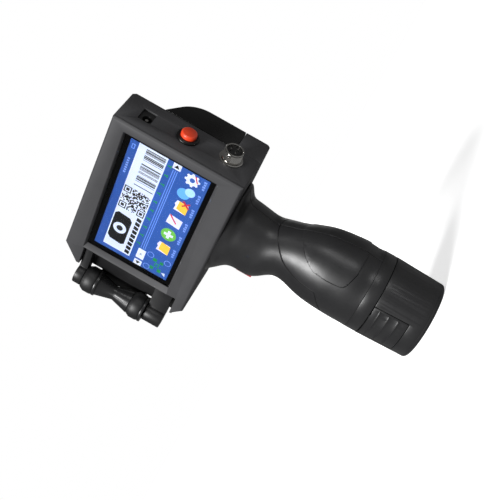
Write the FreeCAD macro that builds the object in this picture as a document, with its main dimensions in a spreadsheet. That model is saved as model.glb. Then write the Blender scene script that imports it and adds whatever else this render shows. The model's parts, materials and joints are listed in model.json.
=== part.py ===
import FreeCAD, Part
import math
import os
import re

import Sketcher
from FreeCAD import Placement, Rotation, Vector

# Handheld date coder: a gun-shaped ink-jet printer that is rolled along a box.
# Millimetres.  +Z is up, +X points out of the rear face with the sockets, and the
# screen faces -Y.  The origin is the centre of the battery's flat base.

SIZES = {
    # battery pack
    "battery_height": 34.2, "case_wall": 3.7, "foot_taper": 1.1, "foot_round": 2.0,
    "cap_thick": 2.4, "cell_radius": 9.1, "cell_length": 65.0, "cell_gap": 0.12,
    "pack_air": 0.3, "stem_wall": 0.56, "board_room": 2.4, "lid_thick": 1.6,
    "pad_thick": 0.6, "pad_wide": 5.0, "pad_deep": 7.0, "pad_pitch": 9.0,
    # battery latches
    "latch_wide": 24.4, "latch_low": 11.0, "latch_deep": 4.3, "latch_travel": 1.5,
    "pocket_deep": 6.8, "latch_air": 0.35, "rib_rise": 0.45, "rib_thick": 0.9,
    "rib_pitch": 6.2, "rib_up": 6.3, "tongue_wide": 10.0, "tongue_thick": 1.2,
    "tongue_bite": 1.5, "tongue_rise": 6.0, "seat_radius": 2.6, "seat_depth": 1.5,
    "rib_inset": 1.0, "latch_coil": 1.8, "latch_wire": 0.3,
    # handle
    "seam": 0.4, "shell_wall": 2.4, "bore_air": 0.4, "collar_height": 8.0,
    "grip_length": 93.4, "partition": 2.0, "split_gap": 0.06, "bore_spare": 2.0,
    "flange_thick": 2.4, "cable_hole": 8.0, "boss_radius": 3.0, "screw_radius": 1.4,
    "screw_head": 2.6, "screw_head_tall": 1.6, "handle_screw_x": 5.0,
    "head_screw_x": 11.0, "head_screw_y": 12.0, "grip_axis": -12.0, "hole_air": 0.05,
    "terminal_rise": 2.5, "terminal_long": 23.0, "terminal_deep": 8.0, "terminal_pin": 1.2,
    "terminal_air": 0.3, "wire_slot_long": 24.0, "wire_slot_deep": 9.0,
    # trigger
    "trigger_wide": 12.0, "trigger_drop": 28.5, "trigger_tall": 11.0, "trigger_front": -37.2,
    "trigger_inner": -30.6, "trigger_flange": 1.8, "trigger_lip": 1.4, "trigger_air": 0.4,
    "trigger_travel": 3.5, "trigger_round": 2.0, "switch_long": 8.0, "switch_deep": 6.0,
    "switch_tall": 13.0, "switch_gap": 1.5, "trigger_coil_radius": 2.2, "trigger_wire": 0.35,
    # head
    "head_rear": 42.0, "head_length": 130.0, "head_height": 87.0, "head_depth": 48.0,
    "box_depth": 29.0, "wall": 2.2, "cover_thick": 2.4, "top_rise": 3.4,
    "top_cut_long": 13.5, "top_cut_tall": 11.0, "low_cut_long": 9.5, "low_cut_tall": 8.5,
    "edge_chamfer": 1.2, "top_chamfer": 2.0,
    "hump_low_up": 52.6, "hump_high_up": 65.5, "hump_round": 20.0,
    "floor_round": 3.0, "deep_back": 4.0, "post_radius": 2.2, "post_drop": 2.4,
    "post_hole": 1.25, "cover_screw": 1.2, "cover_head": 2.4, "cover_head_tall": 1.3,
    "cover_screw_start": 8.0, "bay_lip": 3.5,
    # display
    "display_back": 58.0, "display_up": 46.0, "glass_long": 105.0, "glass_tall": 66.6,
    "glass_thick": 1.4, "gasket_thick": 0.4, "gasket_band": 2.0, "lcd_thick": 3.0,
    "view_long": 100.6, "view_tall": 60.8, "bevel": 1.3, "bevel_front": 3.4,
    "board_long": 62.0, "board_tall": 56.0, "board_thick": 1.6, "board_gap": 1.2,
    "chip_rise": 1.7, "standoff_inset": 4.0, "standoff_radius": 2.2,
    # notch for the near roller, nose and nozzle
    "notch_rib": 0.6, "notch_up": 7.7, "notch_tall": 69.2, "notch_wall": 1.6,
    "nozzle_up": 46.0, "nose_tall": 34.0, "nose_side": 1.3, "nose_rim": 10.0, "rim_step": 0.3,
    "nose_wall": 1.5, "nozzle_tall": 18.0, "nozzle_wide": 14.0, "nozzle_gap": 3.3,
    "snout_room": 0.5,
    # ink cartridge
    "pen_half": 10.6, "pen_long": 49.5, "pen_up": 4.5, "pen_tall": 51.5, "pen_corner": 9.0,
    "snout_tall": 20.0, "snout_half": 9.0, "pen_travel": 12.0, "plate_thick": 0.4,
    "pen_air": 0.3, "cradle_thick": 1.2,
    # rollers
    "axle_out": 10.9, "tyre_air": 0.7, "low_lug_radius": 6.4, "arm_gap": 0.3,
    "top_lug_radius": 7.2, "top_lug_tall": 6.0, "low_lug_up": 2.2, "low_lug_tall": 13.1,
    "axle_radius": 1.5,
    "running": 0.06, "end_play": 0.3, "tyre_radius": 9.4, "tyre_wide": 9.2,
    "ring_wide": 1.9, "ring_radius": 9.1, "cone_radius": 8.2, "waist_radius": 5.0,
    "hub_radius": 6.6, "tyre_round": 1.6, "arm_plate": 1.5, "encoder_radius": 3.9,
    "plate_reach": 7.2,
    "encoder_room": 4.5, "encoder_sleeve": 2.4, "sleeve_drop": 8.5, "disc_thick": 0.6,
    "axle_foot": 1.5, "axle_cap": 1.0, "encoder_floor": 3.0,
    # bay cover and its hinge
    "door_back": 22.0, "door_up": 17.3, "door_gap": 0.3, "knuckle_radius": 1.6,
    "hinge_out": 0.4, "pin_radius": 0.7, "knuckle_long": 18.0, "ear_long": 5.5,
    "hinge_inset": 17.0, "hinge_shift": 5.0,
    # sockets and button on the rear face
    "jack_y": -8.5, "jack_up": 71.0, "jack_wide": 10.2, "jack_tall": 8.4, "jack_long": 14.0,
    "jack_sink": 1.0, "jack_hole": 3.0, "jack_pin": 1.0, "panel_air": 0.1,
    "button_y": -7.6, "button_up": 44.2, "bezel_radius": 7.1, "bezel_tall": 1.9,
    "button_thread": 6.0, "cap_radius": 4.95, "cap_rise": 5.0, "dome_rise": 1.4,
    "button_long": 16.0, "button_stem": 2.2, "button_coil_radius": 3.2, "button_wire": 0.35,
     "button_foot": 4.0, "cap_long": 8.0,
    "socket_y": -5.5, "socket_up": 16.0, "socket_flange": 7.5, "flange_tall": 1.6,
    "socket_radius": 5.9, "socket_out": 8.0, "socket_bore": 4.9, "socket_long": 12.0,
    "insert_sink": 2.0, "contact_radius": 0.5, "contact_circle": 2.5, "nut_radius": 8.0,
    "nut_tall": 2.6,
}

# Lengths that follow from the ones above.
DERIVED = {
    "cell_offset": "cell_radius + cell_gap",
    "cell_base": "cap_thick + pack_air",
    "cell_bore": "2 * cell_radius + cell_gap + pack_air",
    "stem_radius": "cell_offset * sqrt(2) + cell_radius + pack_air + stem_wall",
    "stem_top": "cell_base + cell_length + board_room",
    "battery_radius": "stem_radius + case_wall",
    "foot_radius": "battery_radius - foot_taper",
    "latch_inner": "battery_radius - latch_deep",
    "pocket_floor": "battery_radius - pocket_deep",
    "bore_radius": "stem_radius + bore_air",
    "tongue_out": "bore_radius + tongue_bite",
    "handle_base": "battery_height + seam",
    "collar_top": "handle_base + collar_height",
    "bore_top": "stem_top + lid_thick + bore_spare",
    "room_base": "bore_top + partition",
    "head_floor": "collar_top + grip_length",
    "trigger_low": "head_floor - trigger_drop",
    "trigger_back": "trigger_inner + 0.4 + trigger_flange",
    "head_front": "head_rear - head_length",
    "head_top": "head_floor + head_height",
    "face": "-head_depth / 2",
    "box_near": "face + cover_thick",
    "box_far": "face + box_depth",
    "deep_far": "head_depth / 2",
    "deep_front": "head_front + deep_back",
    "hump_far": "head_floor + hump_low_up",
    "hump_near": "head_floor + hump_high_up",
    "bay_top": "hump_near - bay_lip",
    "post_z": "head_top - wall - post_drop",
    "display_x": "head_rear - display_back",
    "display_z": "head_floor + display_up",
    "glass_near": "box_near + gasket_thick",
    "lcd_near": "glass_near + glass_thick",
    "lcd_far": "lcd_near + lcd_thick",
    "board_near": "lcd_far + board_gap",
    "notch_edge": "display_x - view_long / 2 - bevel_front - notch_rib",
    "notch_low": "head_floor + notch_up",
    "notch_high": "notch_low + notch_tall",
    "notch_floor": "-(pen_half + pen_air + notch_wall)",
    "nozzle_z": "head_floor + nozzle_up",
    "nose_low": "nozzle_z - nose_tall / 2",
    "nose_high": "nozzle_z + nose_tall / 2",
    "nose_half": "snout_half + pen_air + nose_side",
    "axle_x": "head_front - axle_out",
    "axle_y": "nose_half + rim_step + tyre_air + tyre_radius",
    "nose_front": "axle_x - tyre_radius + nozzle_gap",
    "snout_front": "nose_front + nose_wall + snout_room",
    "snout_low": "nozzle_z - snout_tall / 2",
    "snout_high": "nozzle_z + snout_tall / 2",
    "pen_front": "deep_front + wall + pen_air",
    "pen_rear": "pen_front + pen_long",
    "pen_low": "head_floor + pen_up",
    "pen_high": "pen_low + pen_tall",
    "lug_top": "notch_high - arm_gap",
    "low_lug_base": "notch_low + low_lug_up",
    "top_wheel": "lug_top - top_lug_tall - end_play",
    "low_wheel": "low_lug_base + low_lug_tall + end_play",
    "waist_z": "(top_wheel + low_wheel) / 2",
    "door_front": "head_front + door_back",
    "door_low": "head_floor + door_up",
    "hinge_y": "deep_far + hinge_out",
    "hinge_z": "door_low - door_gap / 2",
    "hinge_a": "door_front + hinge_inset",
    "hinge_b": "head_rear - knuckle_long - hinge_inset + hinge_shift",
    "jack_z": "head_floor + jack_up",
    "button_z": "head_floor + button_up",
    "socket_z": "head_floor + socket_up",
    "panel": "head_rear - wall",
}

# Grip sections from the head down: share of the grip's length up from the collar,
# frontmost x, rearmost x and half width across.  The lowest ones follow the battery.
GRIP = (
    (1.0, "-50", "24", "23"),
    (0.941, "-41.5", "16.2", "22.2"),
    (0.882, "-34.8", "13.2", "21.5"),
    (0.797, "-33.3", "11.7", "21"),
    (0.711, "-32.9", "11.1", "20.6"),
    (0.647, "-28.6", "13.2", "19.7"),
    (0.583, "-23.3", "15.5", "18.9"),
    (0.519, "-22.4", "18.1", "19.4"),
    (0.444, "-24.2", "21.1", "21.2"),
    (0.368, "-battery_radius + 0.9", "battery_radius - 3", "battery_radius - 3.4"),
    (0.283, "-battery_radius + 0.3", "battery_radius - 1.5", "battery_radius - 1.7"),
    (0.192, "-battery_radius + 0.1", "battery_radius - 0.6", "battery_radius - 0.7"),
    (0.1, "-battery_radius + 0.1", "battery_radius - 0.2", "battery_radius - 0.2"),
    (0.0, "-battery_radius + 0.1", "battery_radius - 0.1", "battery_radius - 0.1"),
)

# The two screws that close the handle: x, height and the depth that their heads sit at.
HANDLE_SCREWS = (
    ("handle_screw_x", "collar_top + 0.465 * grip_length", "18.4"),
    ("handle_screw_x - 7", "head_floor - 12", "18"),
)

# The main board's chips: place across and up from the display's centre, width and height.
CHIPS = ((-14, 8, 16, 16), (10, 10, 12, 9), (8, -12, 14, 8), (-16, -14, 9, 12))

# How far the roller axles reach into their lower and upper lugs.
AXLE_SPAN = ("low_lug_base + axle_foot", "lug_top - axle_cap")

# Where the posts that take the front cover's screws stand along x.
POSTS = ("head_front + 24", "display_x", "head_rear - 8")

doc = FreeCAD.newDocument("date_coder")
sheet = doc.addObject("Spreadsheet::Sheet", "sizes")
PARTS = []


def fill_sheet():
    """One row a size: its name in column A and its value, under that alias, in column B."""
    rows = list(SIZES.items()) + list(DERIVED.items())
    for row, (name, entry) in enumerate(rows, start=1):
        sheet.set(f"A{row}", name)
        sheet.set(f"B{row}", f"={entry}" if name in DERIVED else str(entry))
        sheet.setAlias(f"B{row}", name)
    doc.recompute()


def bind(text):
    """Point every size named in an expression at its cell."""
    def cell(found):
        word = found.group(0)
        return f"sizes.{word}" if word in SIZES or word in DERIVED else word
    return re.sub(r"[a-z][a-z_]*", cell, str(text))


def size(name):
    """The value that the sheet holds for a name."""
    return float(getattr(sheet, name))


def drive(item, **texts):
    """Bind an object's properties to expressions; x, y and z are its position."""
    for prop, text in texts.items():
        path = f"Placement.Base.{prop}" if prop in "xyz" else prop
        item.setExpression(path, bind(text))
    return item


def new(kind, name):
    return doc.addObject(kind, name)


def block(name, xs, ys, zs):
    """A box between two planes along each axis."""
    box = new("Part::Box", name)
    drive(box, x=xs[0], y=ys[0], z=zs[0])
    return drive(box, Length=f"({xs[1]}) - ({xs[0]})", Width=f"({ys[1]}) - ({ys[0]})",
                 Height=f"({zs[1]}) - ({zs[0]})")


TURN = {
    "X": Rotation(Vector(0, 1, 0), 90),
    "Y": Rotation(Vector(1, 0, 0), -90),
    "Z": Rotation(),
}


def rod(name, axis, at, span, radius):
    """A cylinder along X, Y or Z; at is its centre in the other two directions."""
    bar = new("Part::Cylinder", name)
    bar.Placement = Placement(Vector(), TURN[axis])
    drive(bar, **spot(axis, at, span[0]))
    return drive(bar, Radius=radius, Height=f"({span[1]}) - ({span[0]})")


def spot(axis, at, start):
    """Where a piece along an axis starts, as x, y and z expressions."""
    across = iter(at)
    return {name: start if name == axis.lower() else next(across) for name in "xyz"}


def hexagon(name, axis, at, span, radius, hole):
    """A nut along an axis."""
    nut = new("Part::Prism", name + "_blank")
    nut.Polygon = 6
    nut.Placement = Placement(Vector(), TURN[axis])
    drive(nut, **spot(axis, at, span[0]))
    drive(nut, Circumradius=radius, Height=f"({span[1]}) - ({span[0]})")
    return less(name, nut, rod(name + "_thread", axis, at, span, hole))


def less(name, base, *tools):
    """What is left of a piece when others are taken out of it."""
    cut = new("Part::Cut", name)
    cut.Base = base
    cut.Tool = tools[0] if len(tools) == 1 else both(name + "_tools", *tools)
    return cut


def both(name, *items):
    """Pieces joined into one."""
    joined = new("Part::MultiFuse", name)
    joined.Shapes = list(items)
    joined.Refine = True
    return joined


def within(name, *items):
    """What pieces have in common."""
    shared = new("Part::MultiCommon", name)
    shared.Shapes = list(items)
    return shared


def group(name, *items):
    """Separate solids that share one node."""
    pack = new("Part::Compound", name)
    pack.Links = list(items)
    return pack


def outline_sketch(body, role, points):
    """A closed outline on one of the body's origin planes, each corner tied to the sheet."""
    sketch = body.newObject("Sketcher::SketchObject", body.Name + "_sketch")
    plane = [item for item in body.Origin.OriginFeatures if item.Role == role][0]
    sketch.AttachmentSupport = [(plane, "")]
    sketch.MapMode = "FlatFace"
    count = len(points)
    ring = [Vector(math.cos(2 * math.pi * i / count), math.sin(2 * math.pi * i / count), 0)
            for i in range(count)]
    for i in range(count):
        sketch.addGeometry(Part.LineSegment(ring[i], ring[(i + 1) % count]))
    for i in range(count):
        sketch.addConstraint(Sketcher.Constraint("Coincident", i, 2, (i + 1) % count, 1))
    for i, corner in enumerate(points):
        for kind, text in zip(("DistanceX", "DistanceY"), corner):
            index = sketch.addConstraint(Sketcher.Constraint(kind, -1, 1, i, 1, 1.0))
            sketch.setExpression(f"Constraints[{index}]", bind(text))
    return sketch


def prism(name, plane, points, span):
    """A Body with one pad: a straight-sided outline in XY, XZ or YZ, from span[0] to span[1]."""
    body = new("PartDesign::Body", name)
    sketch = outline_sketch(body, plane + "_Plane", points)
    pad = body.newObject("PartDesign::Pad", name + "_pad")
    pad.Profile = sketch
    drive(pad, Length=f"({span[1]}) - ({span[0]})")
    axis, start = {"XY": ("z", span[0]), "XZ": ("y", span[1]), "YZ": ("x", span[0])}[plane]
    drive(body, **{axis: start})
    return body


def turned(name, points, at=("0", "0")):
    """A Body turned about a vertical axis at x, y from an outline of (radius, height) corners."""
    body = new("PartDesign::Body", name)
    sketch = outline_sketch(body, "XZ_Plane", points)
    spun = body.newObject("PartDesign::Revolution", name + "_turn")
    spun.Profile = sketch
    spun.ReferenceAxis = (sketch, ["V_Axis"])
    spun.Angle = 360
    drive(body, x=at[0], y=at[1])
    return body


def lathe(name, points, at):
    """A turned Body whose axis lies along X, from (radius, distance along X) corners."""
    body = turned(name, points)
    body.Placement = Placement(Vector(), TURN["X"])
    return drive(body, x=at[0], y=at[1], z=at[2])


def soften(body, pick, radius, kind="Fillet"):
    """Fillet or chamfer the edges of a Body that pick(middle, along) chooses."""
    doc.recompute()
    tip = body.Tip
    names = []
    for number, edge in enumerate(tip.Shape.Edges, start=1):
        middle = edge.valueAt((edge.FirstParameter + edge.LastParameter) / 2)
        middle = body.Placement.multVec(middle)
        along = body.Placement.Rotation.multVec(edge.Vertexes[-1].Point - edge.Vertexes[0].Point)
        if pick(middle, along):
            names.append(f"Edge{number}")
    if not names:
        raise ValueError(f"no edge to soften on {body.Name}")
    dressed = body.newObject(f"PartDesign::{kind}", f"{body.Name}_{kind.lower()}_{len(body.Group)}")
    dressed.Base = (tip, names)
    drive(dressed, **{"Radius" if kind == "Fillet" else "Size": radius})
    return body


def near(a, b):
    return abs(a - b) < 0.01


def coil(name, axis, at, span, radius, wire, turns):
    """A compression spring: round wire swept along a helix."""
    helix = new("Part::Helix", name + "_helix")
    drive(helix, Radius=radius, Height=f"({span[1]}) - ({span[0]}) - 2 * ({wire})",
          Pitch=f"(({span[1]}) - ({span[0]}) - 2 * ({wire})) / {turns}")
    ring = new("Part::Circle", name + "_wire")
    ring.Placement = Placement(Vector(), Rotation(Vector(1, 0, 0), 90))
    drive(ring, Radius=wire, x=radius)
    spring = new("Part::Sweep", name)
    spring.Sections = [ring]
    spring.Spine = (helix, [])
    spring.Solid = True
    spring.Frenet = True
    spring.Placement = Placement(Vector(), TURN[axis])
    return drive(spring, **spot(axis, at, f"({span[0]}) + {wire}"))


def across(sign, inner, outer):
    """A span in Y between two distances from the middle plane, on the side that sign names."""
    return (f"-({outer})", f"-({inner})") if sign < 0 else (inner, outer)


def keep(label, item):
    """Make an object one of the sub-parts, under its own name."""
    item.Label = label
    PARTS.append(item)
    return item


def solid_grip(name, inset):
    """The grip's smooth outer form, or the same form a wall smaller all round."""
    rings = []
    for number, (share, front, rear, half) in enumerate(GRIP):
        ring = new("Part::Ellipse", f"{name}_ring_{number}")
        drive(ring, MajorRadius=f"(({rear}) - ({front})) / 2 - ({inset})",
              MinorRadius=f"min({half}; (({rear}) - ({front})) / 2) - ({inset})",
              x=f"(({rear}) + ({front})) / 2", z=f"collar_top + {share} * grip_length")
        rings.append(ring)
    form = new("Part::Loft", name)
    form.Sections = rings
    form.Solid = True
    return form


def pack_blank(name, rise):
    """The battery pack's outer form above its cap, standing proud by rise."""
    return turned(name, [
        ("0", "cap_thick"),
        (f"foot_radius + {rise}", "cap_thick"),
        (f"battery_radius + {rise}", "battery_height"),
        ("0", "battery_height"),
    ])


def battery_case():
    """The pack's body and the stem that slides up into the handle."""
    blank = pack_blank("pack_form", "0")
    stem = rod("pack_stem", "Z", ("0", "0"), ("battery_height - 1", "stem_top"), "stem_radius")
    half = "cell_bore"
    room = prism("cell_room", "XY", [(f"-{half}", f"-{half}"), (half, f"-{half}"), (half, half),
                                     (f"-{half}", half)], ("cap_thick - 1", "stem_top + 1"))
    soften(room, lambda middle, along: abs(along.z) > 1, "cell_radius + pack_air")
    tools = [room]
    half_wide = "(latch_wide / 2 + latch_air)"
    half_tongue = "(tongue_wide / 2 + latch_air)"
    slot_floor = "tongue_out - tongue_thick - latch_travel - latch_air"
    for side, sign in (("near", -1), ("far", 1)):
        tools.append(block(f"{side}_pocket", (f"-{half_wide}", half_wide),
                           across(sign, "pocket_floor", "battery_radius + 5"),
                           ("latch_low - latch_air", "battery_height + 1")))
        tools.append(block(f"{side}_stem_slot", (f"-{half_tongue}", half_tongue),
                           across(sign, slot_floor, "stem_radius + 2"),
                           ("battery_height - 0.5", "battery_height + tongue_rise + 2")))
    keep("battery_case", less("battery_case_cut", both("pack_body", blank, stem), *tools))


def battery_cap():
    """The flat base that the printer stands on."""
    cap = turned("battery_cap_body", [("0", "0"), ("foot_radius", "0"),
                                      ("foot_radius", "cap_thick"), ("0", "cap_thick")])
    foot = size("foot_radius")

    def at_foot(middle, along):
        """Whether an edge is the rim of the flat base."""
        return near(middle.z, 0) and near(math.hypot(middle.x, middle.y), foot)

    soften(cap, at_foot, "foot_round")
    keep("battery_cap", cap)


def battery_inside():
    """Four cells, their board, the lid on the stem and its contact pads."""
    cells = []
    for i, j in ((1, 1), (1, -1), (-1, 1), (-1, -1)):
        cells.append(rod(f"cell_{len(cells) + 1}", "Z", (f"{i} * cell_offset", f"{j} * cell_offset"),
                         ("cell_base", "cell_base + cell_length"), "cell_radius"))
    keep("battery_cells", group("cell_group", *cells))
    keep("battery_board", block("battery_board_box", ("-14", "14"), ("-10", "10"),
                                ("stem_top - board_room + 0.7", "stem_top - board_room + 1.7")))
    keep("battery_lid", rod("battery_lid_disc", "Z", ("0", "0"),
                            ("stem_top", "stem_top + lid_thick"), "stem_radius"))
    pads = []
    for i in (-1, 0, 1):
        pads.append(block(f"pad_{i + 2}",
                          (f"{i} * pad_pitch - pad_wide / 2", f"{i} * pad_pitch + pad_wide / 2"),
                          ("-pad_deep / 2", "pad_deep / 2"),
                          ("stem_top + lid_thick", "stem_top + lid_thick + pad_thick")))
    keep("battery_terminals", group("pad_group", *pads))


def battery_latch(side, sign):
    """A squeeze latch: curved face with finger ribs, and a tongue that reaches into the collar."""
    face_form = pack_blank(f"{side}_latch_form", "0.05")
    window = block(f"{side}_latch_window", ("-latch_wide / 2", "latch_wide / 2"),
                   across(sign, "latch_inner", "battery_radius + 3"),
                   ("latch_low", "battery_height - latch_air"))
    face = within(f"{side}_latch_face", face_form, window)
    rib_form = pack_blank(f"{side}_rib_form", "rib_rise")
    ribs = [block(f"{side}_rib_{i}", ("-latch_wide / 2 + rib_inset", "latch_wide / 2 - rib_inset"),
                  across(sign, "latch_inner + 1", "battery_radius + 3"),
                  (f"latch_low + rib_up + {i} * rib_pitch - rib_thick / 2",
                   f"latch_low + rib_up + {i} * rib_pitch + rib_thick / 2")) for i in range(3)]
    raised = within(f"{side}_latch_ribs", rib_form, both(f"{side}_rib_bars", *ribs))
    tongue = block(f"{side}_tongue", ("-tongue_wide / 2", "tongue_wide / 2"),
                   across(sign, "tongue_out - tongue_thick", "tongue_out"),
                   ("battery_height - 4", "battery_height + tongue_rise"))
    seat = rod(f"{side}_spring_seat", "Y", ("0", "(latch_low + battery_height) / 2"),
               across(sign, "latch_inner - 1", "latch_inner + seat_depth"), "seat_radius")
    keep(f"{side}_latch", less(f"{side}_latch_cut", both(f"{side}_latch_body", face, raised, tongue),
                               seat))
    spring = coil(f"{side}_latch_coil", "Y", ("0", "(latch_low + battery_height) / 2"),
                  ("-(latch_inner + seat_depth)", "-pocket_floor"), "latch_coil", "latch_wire", 3)
    if side == "far":
        mirrored = new("Part::Mirroring", "far_latch_spring_turned")
        mirrored.Source = spring
        mirrored.Normal = Vector(0, 1, 0)
        spring = mirrored
    keep(f"{side}_latch_spring", spring)


def handle_shells():
    """Two moulded halves with the battery bore below and the trigger's room above."""
    outer = solid_grip("grip_outer", "0")
    inner = within("grip_hollow", solid_grip("grip_inner", "shell_wall"),
                   block("grip_hollow_span", ("-80", "80"), ("-60", "60"),
                         ("room_base", "head_floor - flange_thick")))
    bore = rod("battery_bore", "Z", ("0", "0"), ("collar_top - 5", "bore_top"), "bore_radius")
    cable = rod("grip_cable_way", "Z", ("grip_axis", "0"),
                ("head_floor - flange_thick - 1", "head_floor + 1"), "cable_hole")
    wires = block("partition_slot", ("-wire_slot_long / 2", "wire_slot_long / 2"),
                  ("-wire_slot_deep / 2", "wire_slot_deep / 2"), ("bore_top - 1", "room_base + 1"))
    half = "(trigger_wide / 2 + trigger_air)"
    slot = block("trigger_slot", ("trigger_front - 8", "trigger_inner + 6"), (f"-{half}", half),
                 ("trigger_low - trigger_air", "trigger_low + trigger_tall + trigger_air"))
    lip = "(trigger_wide / 2 + trigger_lip + trigger_air)"
    lip_room = block("trigger_lip_room", ("trigger_inner", "trigger_back + trigger_travel + 1"),
                     (f"-{lip}", lip), ("trigger_low - trigger_lip - trigger_air",
                                        "trigger_low + trigger_tall + trigger_lip + trigger_air"))
    shell = less("grip_shell", outer, inner, bore, cable, wires, slot, lip_room,
                 *head_screw_holes("grip"))
    bosses = both("grip_bosses", *[
        rod(f"grip_boss_{n}", "Y", (x, z), ("-17", "17"), "boss_radius")
        for n, (x, z, _) in enumerate(HANDLE_SCREWS)])
    full = both("grip_full", shell, within("grip_boss_trim", bosses, solid_grip("boss_bound", "1")))
    drilled = less("grip_drilled", full, *handle_screws("hole", "hole_air"))
    for side, ys in (("near", ("-60", "-split_gap")), ("far", ("split_gap", "60"))):
        half_space = block(f"{side}_half", ("-80", "80"), ys, ("collar_top", "head_floor + 1"))
        keep(f"handle_{side}_shell", within(f"handle_{side}_cut", drilled, half_space))


def handle_screws(name, extra):
    """Screws that close the two halves, driven from the far side."""
    screws = []
    for number, (x, z, seat) in enumerate(HANDLE_SCREWS):
        shank = rod(f"{name}_shank_{number}", "Y", (x, z), ("-12", seat),
                    f"screw_radius + {extra}")
        top = rod(f"{name}_top_{number}", "Y", (x, z),
                  (f"{seat} - screw_head_tall", seat if extra == "0" else f"{seat} + 8"),
                  f"screw_head + {extra}")
        screws.append(both(f"{name}_screw_{number}", shank, top))
    return screws


def head_screw_holes(name):
    """Holes for the four screws that hold the head on the handle."""
    return [rod(f"{name}_head_hole_{i}{j}".replace("-", "m"), "Z",
                (f"grip_axis + {i} * head_screw_x", f"{j} * head_screw_y"),
                ("head_floor - flange_thick - 3", "head_floor + wall + 1"), "screw_radius + hole_air")
            for i in (-1, 1) for j in (-1, 1)]


def handle_collar():
    """The ring round the handle's mouth, slotted for the latch tongues."""
    ring = rod("collar_ring", "Z", ("0", "0"), ("handle_base", "collar_top"), "battery_radius - 0.1")
    bore = rod("collar_bore", "Z", ("0", "0"), ("handle_base - 1", "collar_top + 1"), "bore_radius")
    half = "(tongue_wide / 2 + latch_air)"
    slot = block("collar_slots", (f"-{half}", half), ("-tongue_out - 0.4", "tongue_out + 0.4"),
                 ("handle_base - 1", "battery_height + tongue_rise + 0.6"))
    keep("handle_collar", less("collar_cut", ring, bore, slot))


def handle_inside():
    """Sprung contacts over the battery, the closing screws and the wiring to the head."""
    foot = "stem_top + lid_thick + pad_thick + terminal_air"
    plate = block("terminal_plate", ("-terminal_long / 2", "terminal_long / 2"),
                  ("-terminal_deep / 2", "terminal_deep / 2"),
                  ("bore_top", "room_base + terminal_rise"))
    pins = [rod(f"terminal_pin_{i + 2}", "Z", (f"{i} * pad_pitch", "0"), (foot, "bore_top + 1"),
                "terminal_pin") for i in (-1, 0, 1)]
    keep("handle_terminals", both("terminal_block", plate, *pins))
    keep("handle_screws", group("handle_screw_group", *handle_screws("screw", "0")))
    head = []
    for i in (-1, 1):
        for j in (-1, 1):
            at = (f"grip_axis + {i} * head_screw_x", f"{j} * head_screw_y")
            tag = f"{i}{j}".replace("-", "m")
            head.append(both(f"head_screw_{tag}",
                             rod(f"head_shank_{tag}", "Z", at,
                                 ("head_floor - flange_thick", "head_floor + wall"), "screw_radius"),
                             rod(f"head_top_{tag}", "Z", at,
                                 ("head_floor + wall", "head_floor + wall + 1.2"), "screw_head")))
    keep("head_screws", group("head_screw_group", *head))


def wiring():
    """The lead from the handle's contacts, up the grip and to the main board."""
    axis = size("grip_axis")
    start = size("room_base") + size("terminal_rise")
    top = size("head_floor") + 22
    behind_board = size("board_near") + size("board_thick") + 5.5
    route = [Vector(0, 0, start), Vector(0, 0, start + 18), Vector(axis, 0, start + 44),
             Vector(axis, 0, top - 14), Vector(axis, behind_board, top),
             Vector(axis, behind_board, top + 14)]
    lead = new("Part::Feature", "battery_lead")
    lead.Shape = round_tube(route, 1.6)
    keep("battery_cable", lead)


def round_tube(route, radius):
    """A round tube along straight runs joined by tangent arcs."""
    edges = []
    last = route[0]
    for before, corner, after in zip(route, route[1:], route[2:]):
        come = (corner - before).normalize()
        leave = (after - corner).normalize()
        turn = come.getAngle(leave)
        run = min((corner - before).Length, (after - corner).Length)
        back = 0.45 * run
        bend = back / math.tan(turn / 2)
        start = corner - come * back
        end = corner + leave * back
        bisector = (leave - come).normalize()
        centre = corner + bisector * math.hypot(bend, back)
        middle = centre - bisector * bend
        edges.append(Part.LineSegment(last, start).toShape())
        edges.append(Part.Arc(start, middle, end).toShape())
        last = end
    edges.append(Part.LineSegment(last, route[-1]).toShape())
    path = Part.Wire(edges)
    ring = Part.Wire([Part.Circle(route[0], (route[1] - route[0]).normalize(), radius).toShape()])
    return path.makePipeShell([ring], True, True)


def trigger():
    """The print trigger, its return spring and the switch that it presses."""
    shoe = block("trigger_shoe", ("trigger_front", "trigger_inner + 0.5"),
                 ("-trigger_wide / 2", "trigger_wide / 2"),
                 ("trigger_low", "trigger_low + trigger_tall"))
    rim = block("trigger_rim", ("trigger_back - trigger_flange", "trigger_back"),
                ("-trigger_wide / 2 - trigger_lip", "trigger_wide / 2 + trigger_lip"),
                ("trigger_low - trigger_lip", "trigger_low + trigger_tall + trigger_lip"))
    front = new("Part::Fillet", "trigger_rounded")
    front.Base = shoe
    doc.recompute()
    face_x = size("trigger_front")
    round_off = size("trigger_round")
    front.Edges = [(n, round_off, round_off) for n, edge in enumerate(shoe.Shape.Edges, start=1)
                   if all(near(corner.X, face_x) for corner in edge.Vertexes)]
    keep("trigger", both("trigger_body", front, rim))
    back = "trigger_back"
    middle = "trigger_low + trigger_tall / 2"
    gap = "trigger_travel + switch_gap"
    keep("trigger_spring", coil("trigger_coil", "X", ("0", middle), (back, f"{back} + {gap}"),
                                "trigger_coil_radius", "trigger_wire", 3))
    keep("trigger_switch", block("switch_box", (f"{back} + {gap}", f"{back} + {gap} + switch_long"),
                                 ("-switch_deep / 2", "switch_deep / 2"),
                                 (f"{middle} - switch_tall / 2", f"{middle} + switch_tall / 2")))


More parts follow.
